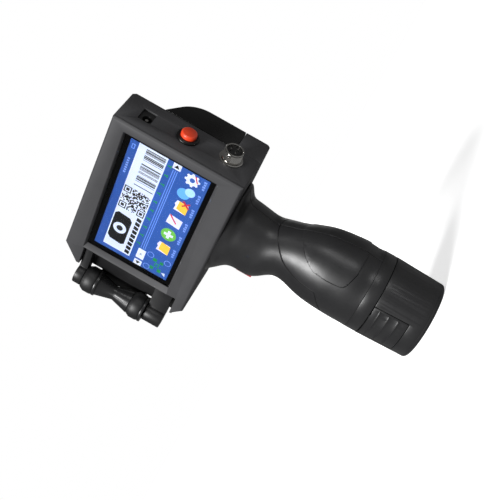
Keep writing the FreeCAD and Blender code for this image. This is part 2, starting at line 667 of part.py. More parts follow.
def face_outline(inset):
    """The head's outline seen from the screen side, a wall smaller where inset is one."""
    front = f"head_front + {inset}"
    return [
        (f"head_rear - {inset}", f"head_floor + {inset}"),
        (f"head_rear - {inset}", f"head_top - {inset}"),
        (f"head_front + top_cut_long + 0.4 * {inset}", f"head_top + top_rise - {inset}"),
        (front, f"head_top + top_rise - top_cut_tall - 0.4 * {inset}"),
        (front, f"head_floor + low_cut_tall + 0.4 * {inset}"),
        (f"head_front + low_cut_long + 0.4 * {inset}", f"head_floor + {inset}"),
    ]


def notch_cutter(name, y_from):
    """The notch in the front edge that the near roller sits in."""
    return block(name, ("head_front - 5", "notch_edge"), (y_from, "notch_floor"),
                 ("notch_low", "notch_high"))


def front_cover():
    """The face round the screen: a plate with a bevelled window, a notch and screw posts."""
    plate = prism("cover_plate", "XZ", face_outline("0"), ("face", "box_near"))
    doc.recompute()
    face = size("face")
    soften(plate, lambda middle, along: near(middle.y, face) and abs(along.y) < 0.01,
           "edge_chamfer", "Chamfer")
    window = new("Part::Wedge", "window_cutter")
    drive(window, y="0",
          Xmin="display_x - view_long / 2 - bevel_front", Xmax="display_x + view_long / 2 + bevel",
          Zmin="display_z - view_tall / 2 - bevel", Zmax="display_z + view_tall / 2 + bevel",
          X2min="display_x - view_long / 2", X2max="display_x + view_long / 2",
          Z2min="display_z - view_tall / 2", Z2max="display_z + view_tall / 2",
          Ymin="face", Ymax="box_near")
    posts = []
    holes = []
    screws = []
    for number, x in enumerate(POSTS):
        at = (x, "post_z")
        posts.append(rod(f"cover_post_{number}", "Y", at, ("box_near - 1", "box_far - wall"),
                         "post_radius"))
        holes.append(rod(f"cover_post_hole_{number}", "Y", at,
                         ("box_near + cover_screw_start - 2", "box_far"), "post_hole"))
        shank = rod(f"cover_shank_{number}", "Y", at, ("box_near + cover_screw_start", "box_far"),
                    "cover_screw")
        top = rod(f"cover_head_{number}", "Y", at, ("box_far", "box_far + cover_head_tall"),
                  "cover_head")
        screws.append(both(f"cover_screw_{number}", shank, top))
    body = less("cover_opened", plate, window, notch_cutter("cover_notch", "face - 1"))
    keep("front_cover", less("cover_drilled", both("cover_with_posts", body, *posts), *holes))
    keep("cover_screws", group("cover_screw_group", *screws))


def main_shell():
    """The head's box: rear panel with the sockets, floor, top and the notch's walls."""
    outer = prism("box_form", "XZ", face_outline("0"), ("box_near", "box_far"))
    doc.recompute()
    far = size("box_far")
    top = size("head_top")
    soften(outer, lambda middle, along: near(middle.y, far) and middle.z > top - 0.1,
           "top_chamfer", "Chamfer")
    inner = prism("box_room", "XZ", face_outline("wall"), ("box_near - 1", "box_far - wall"))
    bay = block("bay_window", ("head_front + wall", "head_rear - wall"),
                ("box_far - wall - 1", "box_far + 1"), ("head_floor + wall", "bay_top"))
    hollow = less("box_shell", outer, inner, bay)
    pocket = block("notch_block", ("head_front", "notch_edge + notch_wall"),
                   ("box_near", "notch_floor + notch_wall"),
                   ("notch_low - notch_wall", "notch_high + notch_wall"))
    lined = both("box_lined", hollow, pocket)
    holes = [
        notch_cutter("box_notch", "face - 1"),
        block("snout_way", ("head_front - 1", "head_front + wall + 1"),
              ("-pen_half - pen_air", "box_far + 1"), ("snout_low - 2", "snout_high + 2")),
        block("jack_way", ("head_rear - wall - 1", "head_rear + 1"),
              ("jack_y - jack_wide / 2 - panel_air", "jack_y + jack_wide / 2 + panel_air"),
              ("jack_z - jack_tall / 2 - panel_air", "jack_z + jack_tall / 2 + panel_air")),
        rod("button_way", "X", ("button_y", "button_z"), ("head_rear - wall - 1", "head_rear + 1"),
            "button_thread + panel_air"),
        rod("socket_way", "X", ("socket_y", "socket_z"), ("head_rear - wall - 1", "head_rear + 1"),
            "button_thread + panel_air"),
        rod("floor_way", "Z", ("grip_axis", "0"), ("head_floor - 1", "head_floor + wall + 1"),
            "cable_hole"),
    ]
    for number, x in enumerate(POSTS):
        holes.append(rod(f"cover_screw_way_{number}", "Y", (x, "post_z"),
                         ("box_far - wall - 1", "box_far + 1"), "post_hole"))
    shell = less("box_drilled", lined, *holes, *head_screw_holes("box"))
    keep("main_shell", shell)


def deep_profile(inset):
    """The deep part's outline seen along X: flat floor, straight side and sloped, rounded top."""
    slope = "(hump_near - hump_far) / (deep_far - box_far)"
    drop = f"{inset} * sqrt(1 + ({slope}) * ({slope}))"
    return [
        ("box_far", f"head_floor + {inset}"),
        (f"deep_far - {inset}", f"head_floor + {inset}"),
        (f"deep_far - {inset}", f"hump_far - {drop} + {inset} * {slope}"),
        ("box_far", f"hump_near - {drop}"),
    ]


def deep_form(name, inset, span):
    """The deep part as a solid, its long top corner and floor corner rounded."""
    form = prism(name, "YZ", deep_profile(inset), span)
    side = size("deep_far") - (size("wall") if inset == "wall" else 0)
    middle_z = (size("head_floor") + size("hump_far")) / 2
    soften(form, lambda middle, along: abs(along.x) > 1 and near(middle.y, side)
           and middle.z > middle_z, f"hump_round - {inset}")
    soften(form, lambda middle, along: abs(along.x) > 1 and near(middle.y, side)
           and middle.z < middle_z, f"floor_round - {inset}")
    return form


def knuckles(name, spans, radius, web):
    """Hinge barrels along X, each with a web to its wall, bored for the pin."""
    barrels = []
    for number, (x0, x1) in enumerate(spans):
        barrels.append(rod(f"{name}_barrel_{number}", "X", ("hinge_y", "hinge_z"), (x0, x1), radius))
        barrels.append(block(f"{name}_web_{number}", (x0, x1), ("deep_far - wall / 2", "hinge_y"), web))
    return barrels


def rear_housing_and_cover():
    """The deep part behind the screen box, split into a fixed housing and the bay's cover."""
    shell = less("deep_shell", deep_form("deep_outer", "0", ("deep_front", "head_rear")),
                 deep_form("deep_inner", "wall", ("deep_front + wall", "head_rear - wall")))
    trimmed = within("deep_trimmed", shell,
                     prism("deep_bound", "XZ", face_outline("0"), ("box_far", "deep_far")))
    door_spans = [(x, f"{x} + knuckle_long") for x in ("hinge_a", "hinge_b")]
    ear_spans = []
    for x in ("hinge_a", "hinge_b"):
        ear_spans.append((f"{x} - door_gap - ear_long", f"{x} - door_gap"))
        beyond = f"{x} + knuckle_long + door_gap"
        ear_spans.append((beyond, f"{beyond} + ear_long"))
    above = "door_low + knuckle_radius"
    below = "door_low - door_gap - knuckle_radius"

    door_room = block("door_room", ("door_front", "head_rear + 1"),
                      ("box_far + door_gap", "deep_far + 1"), ("door_low", "hump_near + 1"))
    door_panel = within("door_panel", trimmed, door_room)
    ear_clear = [rod(f"ear_clear_{n}", "X", ("hinge_y", "hinge_z"),
                     (f"{a} - door_gap", f"{b} + door_gap"), "knuckle_radius + door_gap")
                 for n, (a, b) in enumerate(ear_spans)]
    door_edge = less("door_edge", door_panel, *ear_clear)
    door_body = both("door_with_knuckles", door_edge,
                     *knuckles("door", door_spans, "knuckle_radius", ("door_low", above)))
    keep("bay_cover", less("bay_cover_cut", door_body, pin_bore("door_pin_bore", "running")))

    gap_room = block("door_clearance", ("door_front - door_gap", "head_rear + 1"),
                     ("box_far - 1", "deep_far + 1"), ("door_low - door_gap", "hump_near + 1"))
    snout = block("deep_snout_way", ("deep_front - 1", "deep_front + wall + 1"),
                  ("box_far - 1", "pen_half + pen_air"), ("snout_low - 2", "snout_high + 2"))
    knuckle_clear = [rod(f"knuckle_clear_{n}", "X", ("hinge_y", "hinge_z"),
                         (f"{a} - door_gap", f"{b} + door_gap"), "knuckle_radius + door_gap")
                     for n, (a, b) in enumerate(door_spans)]
    fixed = less("housing_opened", trimmed, gap_room, snout, *knuckle_clear,
                 *head_screw_holes("housing"))
    ears = knuckles("ear", ear_spans, "knuckle_radius", (below, "door_low - door_gap"))
    keep("rear_housing", less("rear_housing_cut", both("housing_with_ears", fixed, *ears),
                              pin_bore("ear_pin_bore", "0")))
    pins = [rod(f"hinge_pin_{n}", "X", ("hinge_y", "hinge_z"),
                (f"{x} - door_gap - ear_long", f"{x} + knuckle_long + door_gap + ear_long"),
                "pin_radius") for n, x in enumerate(("hinge_a", "hinge_b"))]
    keep("bay_hinge_pins", group("hinge_pin_group", *pins))


def pin_bore(name, extra):
    """The bore for the hinge pins, with running room where the knuckle turns on the pin."""
    return rod(name, "X", ("hinge_y", "hinge_z"), ("head_front", "head_rear"), f"pin_radius + {extra}")


def screen():
    """Gasket, touch glass, display and main board, stacked behind the window."""
    def sheet_at(name, dx, dz, ys):
        return block(name, (f"display_x - {dx} / 2", f"display_x + {dx} / 2"), ys,
                     (f"display_z - {dz} / 2", f"display_z + {dz} / 2"))

    rim = sheet_at("gasket_rim", "glass_long", "glass_tall", ("box_near", "glass_near"))
    hole = sheet_at("gasket_hole", "(glass_long - 2 * gasket_band)",
                    "(glass_tall - 2 * gasket_band)", ("box_near - 1", "glass_near + 1"))
    keep("display_gasket", less("gasket_cut", rim, hole))
    keep("touch_glass", sheet_at("glass_sheet", "glass_long", "glass_tall",
                                 ("glass_near", "lcd_near")))
    keep("lcd_module", sheet_at("lcd_box", "glass_long", "glass_tall", ("lcd_near", "lcd_far")))
    board = sheet_at("board_sheet", "board_long", "board_tall",
                     ("board_near", "board_near + board_thick"))
    chips = []
    for number, (dx, dz, wide, tall) in enumerate(CHIPS):
        chips.append(block(f"chip_{number}",
                           (f"display_x + {dx - wide / 2}", f"display_x + {dx + wide / 2}"),
                           ("board_near + board_thick", "board_near + board_thick + chip_rise"),
                           (f"display_z + {dz - tall / 2}", f"display_z + {dz + tall / 2}")))
    keep("main_board", both("board_with_chips", board, *chips))
    posts = [rod(f"standoff_{i}{j}".replace("-", "m"), "Y",
                 (f"display_x + {i} * (board_long / 2 - standoff_inset)",
                  f"display_z + {j} * (board_tall / 2 - standoff_inset)"),
                 ("lcd_far", "board_near"), "standoff_radius") for i in (-1, 1) for j in (-1, 1)]
    keep("board_standoffs", group("standoff_group", *posts))


def rear_panel_parts():
    """Charging jack, power button and the round sensor socket."""
    face = "head_rear - jack_sink"
    body = block("jack_body", (f"{face} - jack_long", face),
                 ("jack_y - jack_wide / 2", "jack_y + jack_wide / 2"),
                 ("jack_z - jack_tall / 2", "jack_z + jack_tall / 2"))
    mouth_at = ("jack_y - jack_wide / 2 + jack_hole + 0.5", "jack_z - 0.8")
    mouth = rod("jack_mouth", "X", mouth_at, (f"{face} - 9", f"{face} + 1"), "jack_hole")
    keep("dc_jack", less("jack_cut", body, mouth))
    keep("dc_jack_pin", rod("jack_pin_rod", "X", mouth_at, (f"{face} - 9", f"{face} - 0.8"),
                            "jack_pin"))

    at = ("head_rear", "button_y", "button_z")
    bush = lathe("button_bush", [
        ("cap_radius + running", "bezel_tall"),
        ("cap_radius + running", "-button_long + button_foot"),
        ("button_stem", "-button_long + button_foot"), ("button_stem", "-button_long"),
        ("button_thread", "-button_long"), ("button_thread", "0"),
        ("bezel_radius", "0"), ("bezel_radius", "bezel_tall - 0.8"),
        ("bezel_radius - 0.8", "bezel_tall")], at)
    keep("button_body", bush)
    cap = lathe("button_cap_body", [
        ("0", "-cap_long"), ("cap_radius", "-cap_long"), ("cap_radius", "cap_rise - dome_rise"),
        ("0", "cap_rise - dome_rise")], at)
    ball = "(cap_radius * cap_radius + dome_rise * dome_rise) / (2 * dome_rise)"
    dome = new("Part::Sphere", "button_dome")
    drive(dome, Radius=ball, x=f"head_rear + cap_rise - {ball}", y="button_y", z="button_z")
    over_cap = rod("button_tip_rod", "X", ("button_y", "button_z"),
                   ("head_rear + cap_rise - dome_rise - 0.2", "head_rear + cap_rise + 1"),
                   "cap_radius")
    tip = within("button_tip", dome, over_cap)
    keep("button_cap", both("button_cap_joined", cap, tip))
    keep("button_spring", coil("button_coil", "X", ("button_y", "button_z"),
                               ("head_rear - button_long + button_foot", "head_rear - cap_long"),
                               "button_coil_radius", "button_wire", 3))
    nut_span = ("panel - nut_tall", "panel")
    keep("button_nut", hexagon("button_nut_hex", "X", ("button_y", "button_z"), nut_span,
                               "nut_radius", "button_thread"))

    at = ("head_rear", "socket_y", "socket_z")
    shell = lathe("socket_sleeve", [
        ("socket_bore", "socket_out"), ("socket_bore", "-socket_long"),
        ("button_thread", "-socket_long"), ("button_thread", "0"), ("socket_flange", "0"),
        ("socket_flange", "flange_tall - 0.4"), ("socket_flange - 0.4", "flange_tall"),
        ("socket_radius", "flange_tall"), ("socket_radius", "socket_out - 0.5"),
        ("socket_radius - 0.5", "socket_out")], at)
    keep("connector_shell", shell)
    keep("connector_insert", rod("insert_disc", "X", ("socket_y", "socket_z"),
                                 ("head_rear - socket_long", "head_rear + socket_out - insert_sink"),
                                 "socket_bore"))
    pins = []
    for number in range(3):
        angle = math.radians(90 + 120 * number)
        pins.append(rod(f"socket_pin_{number}", "X",
                        (f"socket_y + {math.cos(angle):.6f} * contact_circle",
                         f"socket_z + {math.sin(angle):.6f} * contact_circle"),
                        ("head_rear + socket_out - insert_sink",
                         "head_rear + socket_out - 0.4"), "contact_radius"))
    keep("connector_pins", group("socket_pin_group", *pins))
    keep("connector_nut", hexagon("socket_nut_hex", "X", ("socket_y", "socket_z"), nut_span,
                                  "nut_radius", "button_thread"))


def nose():
    """The shroud round the nozzle: a base on the head's front and a slightly wider rim."""
    base = block("nose_base", ("nose_front + nose_rim - 1", "head_front"),
                 ("-nose_half", "nose_half"), ("nose_low", "nose_high"))
    step = block("nose_step", ("head_front - 1", "deep_front"), ("box_far", "nose_half"),
                 ("nose_low", "nose_high"))
    rim = prism("nose_rim_body", "XY", [
        ("nose_front", "-nose_half - rim_step + 2"), ("nose_front + 2", "-nose_half - rim_step"),
        ("nose_front + nose_rim", "-nose_half - rim_step"),
        ("nose_front + nose_rim", "nose_half + rim_step"),
        ("nose_front + 2", "nose_half + rim_step"), ("nose_front", "nose_half + rim_step - 2")],
        ("nose_low - rim_step", "nose_high + rim_step"))
    room = block("nose_room", ("nose_front + nose_wall", "deep_front + 1"),
                 ("-snout_half - pen_air", "snout_half + pen_air"),
                 ("nose_low + 2", "nose_high - 2"))
    mouth = block("nozzle_mouth", ("nose_front - 1", "nose_front + nose_wall + 1"),
                  ("-nozzle_wide / 2", "nozzle_wide / 2"),
                  ("nozzle_z - nozzle_tall / 2", "nozzle_z + nozzle_tall / 2"))
    keep("nose_block", less("nose_cut", both("nose_solid", base, rim, step), room, mouth))


def cartridge():
    """The ink cartridge with its nozzle plate, and the cradle that it slides in."""
    tank = prism("tank_form", "XZ", [
        ("pen_front", "pen_low + pen_corner"), ("pen_front + pen_corner", "pen_low"),
        ("pen_rear", "pen_low"), ("pen_rear", "pen_high - 6"),
        ("pen_rear - 6", "pen_high"), ("pen_front", "pen_high")], ("-pen_half", "pen_half"))
    soften(tank, lambda middle, along: abs(along.x) > 1 and abs(along.y) < 0.01, "1.5")
    snout = block("snout_form", ("snout_front + plate_thick", "pen_front + 1"),
                  ("-snout_half", "snout_half"), ("snout_low", "snout_high"))
    keep("ink_cartridge", both("cartridge_body", tank, snout))
    keep("nozzle_plate", block("nozzle_sheet", ("snout_front", "snout_front + plate_thick"),
                               ("-nozzle_wide / 2 + 1", "nozzle_wide / 2 - 1"),
                               ("nozzle_z - nozzle_tall / 2 + 1", "nozzle_z + nozzle_tall / 2 - 1")))
    floor = block("cradle_floor", ("head_front + low_cut_long + 4", "pen_rear + pen_travel + 3"),
                  ("-pen_half - pen_air - cradle_thick", "pen_half"),
                  ("pen_low - pen_air - cradle_thick", "pen_low - pen_air"))
    side = block("cradle_side", ("notch_edge + notch_wall + 0.5", "pen_rear + pen_travel + 3"),
                 ("-pen_half - pen_air - cradle_thick", "-pen_half - pen_air"),
                 ("pen_low - pen_air - cradle_thick", "pen_high"))
    stop = block("cradle_stop", ("pen_rear + pen_travel + 1", "pen_rear + pen_travel + 3"),
                 ("-pen_half - pen_air - cradle_thick", "pen_half"),
                 ("pen_low - pen_air - cradle_thick", "pen_low + 12"))
    way = rod("cradle_cable_way", "Z", ("grip_axis", "0"), ("head_floor", "pen_low + 20"),
              "cable_hole")
    screw_room = [rod(f"cradle_screw_room_{i}{j}".replace("-", "m"), "Z",
                      (f"grip_axis + {i} * head_screw_x", f"{j} * head_screw_y"),
                      ("head_floor", "pen_low"), "screw_head + 0.4")
                  for i in (-1, 1) for j in (-1, 1)]
    keep("cartridge_cradle", less("cradle_cut", both("cradle_form", floor, side, stop), way,
                                  *screw_room))
    keep("contact_strip", block("strip_sheet", ("pen_rear - 24", "pen_rear - 8"),
                                ("-pen_half - pen_air", "-pen_half - 0.05"),
                                ("nozzle_z - 9", "nozzle_z + 7")))


def roller_bracket(side, sign):
    """Two arms on a back plate; each arm ends in a round lug that holds the axle."""
    centre = ("axle_x", f"{sign} * axle_y")
    low = ("low_lug_base", "low_lug_base + low_lug_tall")
    high = ("lug_top - top_lug_tall", "lug_top")
    seat = "-notch_floor + 0.2"
    arm_end = "notch_edge - arm_gap" if sign < 0 else "deep_front"
    arms = [block(f"{side}_arm_{n}", ("axle_x", arm_end), across(sign, seat, "axle_y"), span)
            for n, span in enumerate((low, high))]
    lugs = [rod(f"{side}_low_lug", "Z", centre, low, "low_lug_radius"),
            rod(f"{side}_top_lug", "Z", centre, high, "top_lug_radius")]
    plate_x = ("axle_x + plate_reach" if sign < 0 else "axle_x + tyre_radius + 0.4", arm_end)
    plate_y = across(sign, seat, f"{seat} + arm_plate" if sign < 0 else "axle_y")
    foot = "notch_low + arm_gap" if sign < 0 else "low_lug_base"
    plate = block(f"{side}_bracket_plate", plate_x, plate_y, (foot, "lug_top"))
    body = both(f"{side}_bracket_body", plate, *arms, *lugs)
    tools = [rod(f"{side}_axle_hole", "Z", centre, AXLE_SPAN, "axle_radius")]
    if side == "near":
        tools.append(rod("encoder_cavity", "Z", centre,
                         ("low_lug_base + encoder_floor", "low_lug_base + low_lug_tall - 1.6"),
                         "encoder_room"))
        tools.append(rod("sleeve_way", "Z", centre,
                         ("low_lug_base + encoder_floor", "low_lug_base + low_lug_tall + 1"),
                         "encoder_sleeve + 0.3"))
    keep(f"{side}_roller_bracket", less(f"{side}_bracket_cut", body, *tools))


def roller(side, sign):
    """Axle, spool with a narrow waist, and a rubber tyre at each end."""
    centre = ("axle_x", f"{sign} * axle_y")
    keep(f"{side}_roller_axle", rod(f"{side}_axle", "Z", centre, AXLE_SPAN, "axle_radius"))
    bore = "axle_radius + running"
    sleeve = "encoder_sleeve" if side == "near" else "axle_radius + 1.2"
    foot = "low_wheel - sleeve_drop"
    points = [
        (bore, foot), (sleeve, foot), (sleeve, "low_wheel"), ("ring_radius", "low_wheel"),
        ("ring_radius", "low_wheel + ring_wide"), ("hub_radius", "low_wheel + ring_wide"),
        ("hub_radius", "low_wheel + ring_wide + tyre_wide"),
        ("cone_radius", "low_wheel + ring_wide + tyre_wide"), ("waist_radius", "waist_z"),
        ("cone_radius", "top_wheel - tyre_wide - ring_wide"),
        ("ring_radius", "top_wheel - tyre_wide - ring_wide"),
        ("ring_radius", "top_wheel - tyre_wide"), ("hub_radius", "top_wheel - tyre_wide"),
        ("hub_radius", "top_wheel"), (bore, "top_wheel")]
    if side == "far":
        points[:3] = [(bore, "low_wheel")]
    spool = turned(f"{side}_spool", points, centre)
    keep(f"{side}_roller", spool)
    tyres = []
    shoulder = "tyre_radius - tyre_round"
    for name, base in (("low", "low_wheel + ring_wide"), ("top", "top_wheel - tyre_wide")):
        high = f"{base} + tyre_wide"
        rounds = [("hub_radius", base), ("tyre_radius - 0.5", base), ("tyre_radius", f"{base} + 1.5"),
                  ("tyre_radius", f"{high} - 3"), (shoulder, high), ("hub_radius", high)]
        tyres.append(turned(f"{side}_{name}_tyre", rounds, centre))
    keep(f"{side}_tyres", group(f"{side}_tyre_pair", *tyres))


def encoder():
    """The slotted disc that turns with the near roller, and the sensor that reads it."""
    centre = ("axle_x", "-axle_y")
    base = "low_wheel - sleeve_drop + 0.2"
    disc = rod("encoder_blank", "Z", centre, (base, f"{base} + disc_thick"), "encoder_radius")
    hole = rod("encoder_hole", "Z", centre, (f"{base} - 1", f"{base} + 1"), "encoder_sleeve")
    keep("encoder_disc", less("encoder_cut", disc, hole))
    keep("encoder_sensor", block("sensor_box", ("axle_x + 2.9", "axle_x + 4.1"),
                                 ("-axle_y - 1.2", "-axle_y + 1.2"),
                                 ("low_lug_base + encoder_floor",
                                  "low_wheel - sleeve_drop - 0.2")))


def build():
    fill_sheet()
    battery_case()
    battery_cap()
    battery_inside()
    for side, sign in (("near", -1), ("far", 1)):
        battery_latch(side, sign)
        roller_bracket(side, sign)
        roller(side, sign)
    handle_shells()
    handle_collar()
    handle_inside()
    wiring()
    trigger()
    front_cover()
    main_shell()
    rear_housing_and_cover()
    screen()
    rear_panel_parts()
    nose()
    cartridge()
    encoder()
    doc.recompute()


def check():
    """Stop before anything is written if an object failed or a sub-part isn't sound."""
    for item in doc.Objects:
        if "Invalid" in item.State or "Error" in item.State:
            raise RuntimeError(f"{item.Name} failed: {item.State}")
    for item in PARTS:
        if item.Shape.isNull() or not item.Shape.isValid() or not item.Shape.Solids:
            raise RuntimeError(f"{item.Label} isn't a sound solid")


def write():
    os.makedirs("parts", exist_ok=True)
    for item in PARTS:
        item.Shape.exportStep(f"parts/{item.Label}.step")
        print(item.Label, len(item.Shape.Solids), round(item.Shape.Volume, 1))


build()
check()
write()
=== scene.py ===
"""Looks of the handheld date code printer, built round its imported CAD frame."""

import json
import logging
import math
import random
from dataclasses import dataclass, field
from enum import Enum
from typing import Callable, Sequence

import bpy
from mathutils import Matrix, Vector


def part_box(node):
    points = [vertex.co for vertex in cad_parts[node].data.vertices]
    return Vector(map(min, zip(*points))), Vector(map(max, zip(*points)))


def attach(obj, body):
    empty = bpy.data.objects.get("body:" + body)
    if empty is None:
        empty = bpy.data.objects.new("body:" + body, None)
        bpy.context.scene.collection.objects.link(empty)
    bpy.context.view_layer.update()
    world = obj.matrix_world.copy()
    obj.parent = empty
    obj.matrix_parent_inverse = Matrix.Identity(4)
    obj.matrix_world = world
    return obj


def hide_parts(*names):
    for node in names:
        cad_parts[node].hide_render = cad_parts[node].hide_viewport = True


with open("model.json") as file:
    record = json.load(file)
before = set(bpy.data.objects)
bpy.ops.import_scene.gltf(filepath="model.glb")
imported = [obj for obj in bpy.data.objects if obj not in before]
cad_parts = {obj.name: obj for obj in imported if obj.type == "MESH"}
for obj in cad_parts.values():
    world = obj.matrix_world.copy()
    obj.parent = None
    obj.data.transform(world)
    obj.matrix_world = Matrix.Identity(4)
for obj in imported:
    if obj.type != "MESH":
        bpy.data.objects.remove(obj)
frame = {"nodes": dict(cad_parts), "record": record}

log = logging.getLogger("printer")

MM = 0.001
Point = tuple[float, float]
Point3 = tuple[float, float, float]

# Points closer than this, in metres, are one point: in new meshes and in copied CAD meshes.
SAME_POINT = 1e-6
SAME_CAD_POINT = 2e-6
# Faces that turn less than this, in degrees, are merged into one flat face.
FLAT_WITHIN = 0.6
# Edges that turn less than this, in degrees, are shaded smoothly.
SMOOTH_WITHIN = 30.0


# ---------------------------------------------------------------- finishes


def linear(code: str) -> tuple[float, float, float, float]:
    """Turn an sRGB hex colour into linear RGBA.

    Args:
        code: colour as "#rrggbb".

    Returns:
        The four linear channels, alpha 1.
    """
    channels = [int(code[i:i + 2], 16) / 255 for i in (1, 3, 5)]
    turned = [c / 12.92 if c <= 0.04045 else ((c + 0.055) / 1.055) ** 2.4 for c in channels]
    return (*turned, 1.0)


def add_node(tree: bpy.types.NodeTree, kind: str, settings: dict | None = None,
             inputs: dict | None = None) -> bpy.types.Node:
    """Add a shader node.

    Args:
        tree: node tree to add it to.
        kind: Blender's type name.
        settings: values of the node's own properties.
        inputs: socket name or number to a value, or to an output socket to link from.

    Returns:
        The new node.
    """
    node = tree.nodes.new(kind)
    for key, value in (settings or {}).items():
        setattr(node, key, value)
    for key, value in (inputs or {}).items():
        if isinstance(value, bpy.types.NodeSocket):
            tree.links.new(value, node.inputs[key])
        else:
            node.inputs[key].default_value = value
    return node


class Pattern(Enum):
    """How a surface was made, which decides its small relief."""

    MOULDED = "moulded"
    BRUSHED = "brushed"
    TURNED = "turned"
    BOARD = "board"
    PIXELS = "pixels"


@dataclass(frozen=True)
class Finish:
    """One real finish: its colour, gloss and the relief of its surface."""

    name: str
    colour: str
    shade: str
    rough: float
    metal: float = 0.0
    ior: float = 1.5
    coat: float = 0.0
    grain_mm: float = 0.5
    relief: float = 0.08
    smudge: float = 0.06
    pattern: Pattern = Pattern.MOULDED
    axis: str = "Z"
    glow: float = 0.0
    clear: float = 0.0

    def material(self) -> bpy.types.Material:
        """Build the material, or fetch it if it's already there."""
        found = bpy.data.materials.get(self.name)
        if found:
            return found
        made = bpy.data.materials.new(self.name)
        made.use_nodes = True
        tree = made.node_tree
        tree.nodes.clear()
        place = add_node(tree, "ShaderNodeTexCoord").outputs["Object"]
        grain = self._grain(tree, place)
        cloud = add_node(tree, "ShaderNodeTexNoise", inputs={
            "Vector": place, "Scale": 60.0, "Detail": 4.0, "Roughness": 0.6}).outputs["Fac"]
        blend = add_node(tree, "ShaderNodeMath", {"operation": "MULTIPLY_ADD"},
                         {0: cloud, 1: 0.7, 2: -0.05}).outputs[0]
        mixed = add_node(tree, "ShaderNodeMath", {"operation": "MULTIPLY_ADD", "use_clamp": True},
                         {0: grain, 1: 0.3, 2: blend}).outputs[0]
        colour = add_node(tree, "ShaderNodeMix", {"data_type": "RGBA"}, {
            0: mixed, 6: linear(self.shade), 7: linear(self.colour)}).outputs[2]
        rough = add_node(tree, "ShaderNodeMapRange", inputs={
            0: cloud, 1: 0.3, 2: 0.7, 3: max(self.rough - self.smudge, 0.02),
            4: min(self.rough + self.smudge, 1.0)}).outputs[0]
        bump = add_node(tree, "ShaderNodeBump", inputs={
            "Height": grain, "Strength": self.relief, "Distance": 0.0004}).outputs[0]
        shader = add_node(tree, "ShaderNodeBsdfPrincipled", inputs={
            "Base Color": colour, "Roughness": rough, "Normal": bump, "Metallic": self.metal,
            "IOR": self.ior, "Coat Weight": self.coat, "Coat Roughness": 0.08,
            "Transmission Weight": self.clear, "Emission Strength": self.glow})
        if self.glow:
            tree.links.new(colour, shader.inputs["Emission Color"])
        add_node(tree, "ShaderNodeOutputMaterial", inputs={"Surface": shader.outputs[0]})
        return made

    def _grain(self, tree: bpy.types.NodeTree, place: bpy.types.NodeSocket) -> bpy.types.NodeSocket:
        """The fine pattern of the surface, from 0 to 1.

        Args:
            tree: the material's node tree.
            place: where on the object each point lies, in metres.

        Returns:
            The pattern's socket.
        """
        scale = 1 / (self.grain_mm * MM)
        if self.pattern is Pattern.TURNED:
            return add_node(tree, "ShaderNodeTexWave", {
                "wave_type": "BANDS", "bands_direction": self.axis, "wave_profile": "SIN"}, {
                "Vector": place, "Scale": scale / 6.0, "Distortion": 0.6,
                "Detail": 2.0}).outputs["Fac"]
        if self.pattern is Pattern.BRUSHED:
            stretch = [0.05 if letter == self.axis else 1.0 for letter in "XYZ"]
            drawn = add_node(tree, "ShaderNodeMapping", inputs={
                "Vector": place, "Scale": stretch}).outputs[0]
            return add_node(tree, "ShaderNodeTexNoise", inputs={
                "Vector": drawn, "Scale": scale, "Detail": 3.0}).outputs["Fac"]
        if self.pattern is Pattern.BOARD:
            return add_node(tree, "ShaderNodeTexBrick", {"offset": 0.37, "squash": 0.6}, {
                "Vector": add_node(tree, "ShaderNodeMapping", inputs={
                    "Vector": place, "Rotation": (math.pi / 2, 0, 0)}).outputs[0],
                "Scale": scale / 8, "Mortar Size": 0.03}).outputs["Fac"]
        if self.pattern is Pattern.PIXELS:
            upright = add_node(tree, "ShaderNodeMapping", inputs={
                "Vector": place, "Rotation": (math.pi / 2, 0, 0)}).outputs[0]
            return add_node(tree, "ShaderNodeTexChecker", inputs={
                "Vector": upright, "Scale": scale}).outputs["Fac"]
        return add_node(tree, "ShaderNodeTexNoise", inputs={
            "Vector": place, "Scale": scale, "Detail": 3.0, "Roughness": 0.55}).outputs["Fac"]


# Powder-coated die cast shell: a fine dry texture that scatters the light evenly.
COATED_SHELL = Finish("powder_coated_shell", "#424244", "#39393b", 0.62, grain_mm=0.55, relief=0.16)
# Moulded ABS with a satin spark texture: broad soft highlights.
SATIN_ABS = Finish("satin_abs", "#262627", "#1f1f20", 0.36, grain_mm=0.4, relief=0.05)
# Piano black polycarbonate: next to no diffuse light, one clear reflection.
PIANO_BLACK = Finish("piano_black_polycarbonate", "#060606", "#040404", 0.3, relief=0.02)
# Glass-filled nylon: dry black with a faint fibre mottling.
BLACK_NYLON = Finish("glass_filled_nylon", "#1d1d1e", "#161617", 0.42, grain_mm=0.35, relief=0.08)
# Acetal turned on a lathe: faint rings round the axis.
TURNED_ACETAL = Finish("turned_acetal", "#242425", "#1c1c1d", 0.32, grain_mm=0.5, relief=0.05,
                       pattern=Pattern.TURNED)
# Moulded nitrile rubber: dark, dry, slightly dusty.
NITRILE_RUBBER = Finish("nitrile_rubber", "#1b1b1c", "#131314", 0.5, grain_mm=0.3, relief=0.1)
# Nickel-plated brass, machined: bright and a little soft in its reflections.
NICKEL_PLATE = Finish("nickel_plated_brass", "#d8d6d2", "#b9b7b3", 0.16, metal=1.0, grain_mm=0.3,
                      relief=0.05, smudge=0.05, pattern=Pattern.TURNED, axis="X")
# Zinc-plated steel of screws and axles: a grey, even shine.
ZINC_STEEL = Finish("zinc_plated_steel", "#9a9a9c", "#77777a", 0.28, metal=1.0, grain_mm=0.25,
                    relief=0.06)
# Blackened screw steel: dark, with a dull metal glint.
BLACK_SCREW = Finish("blackened_steel", "#2c2c2e", "#1d1d1f", 0.35, metal=1.0, grain_mm=0.3,
                     relief=0.08)
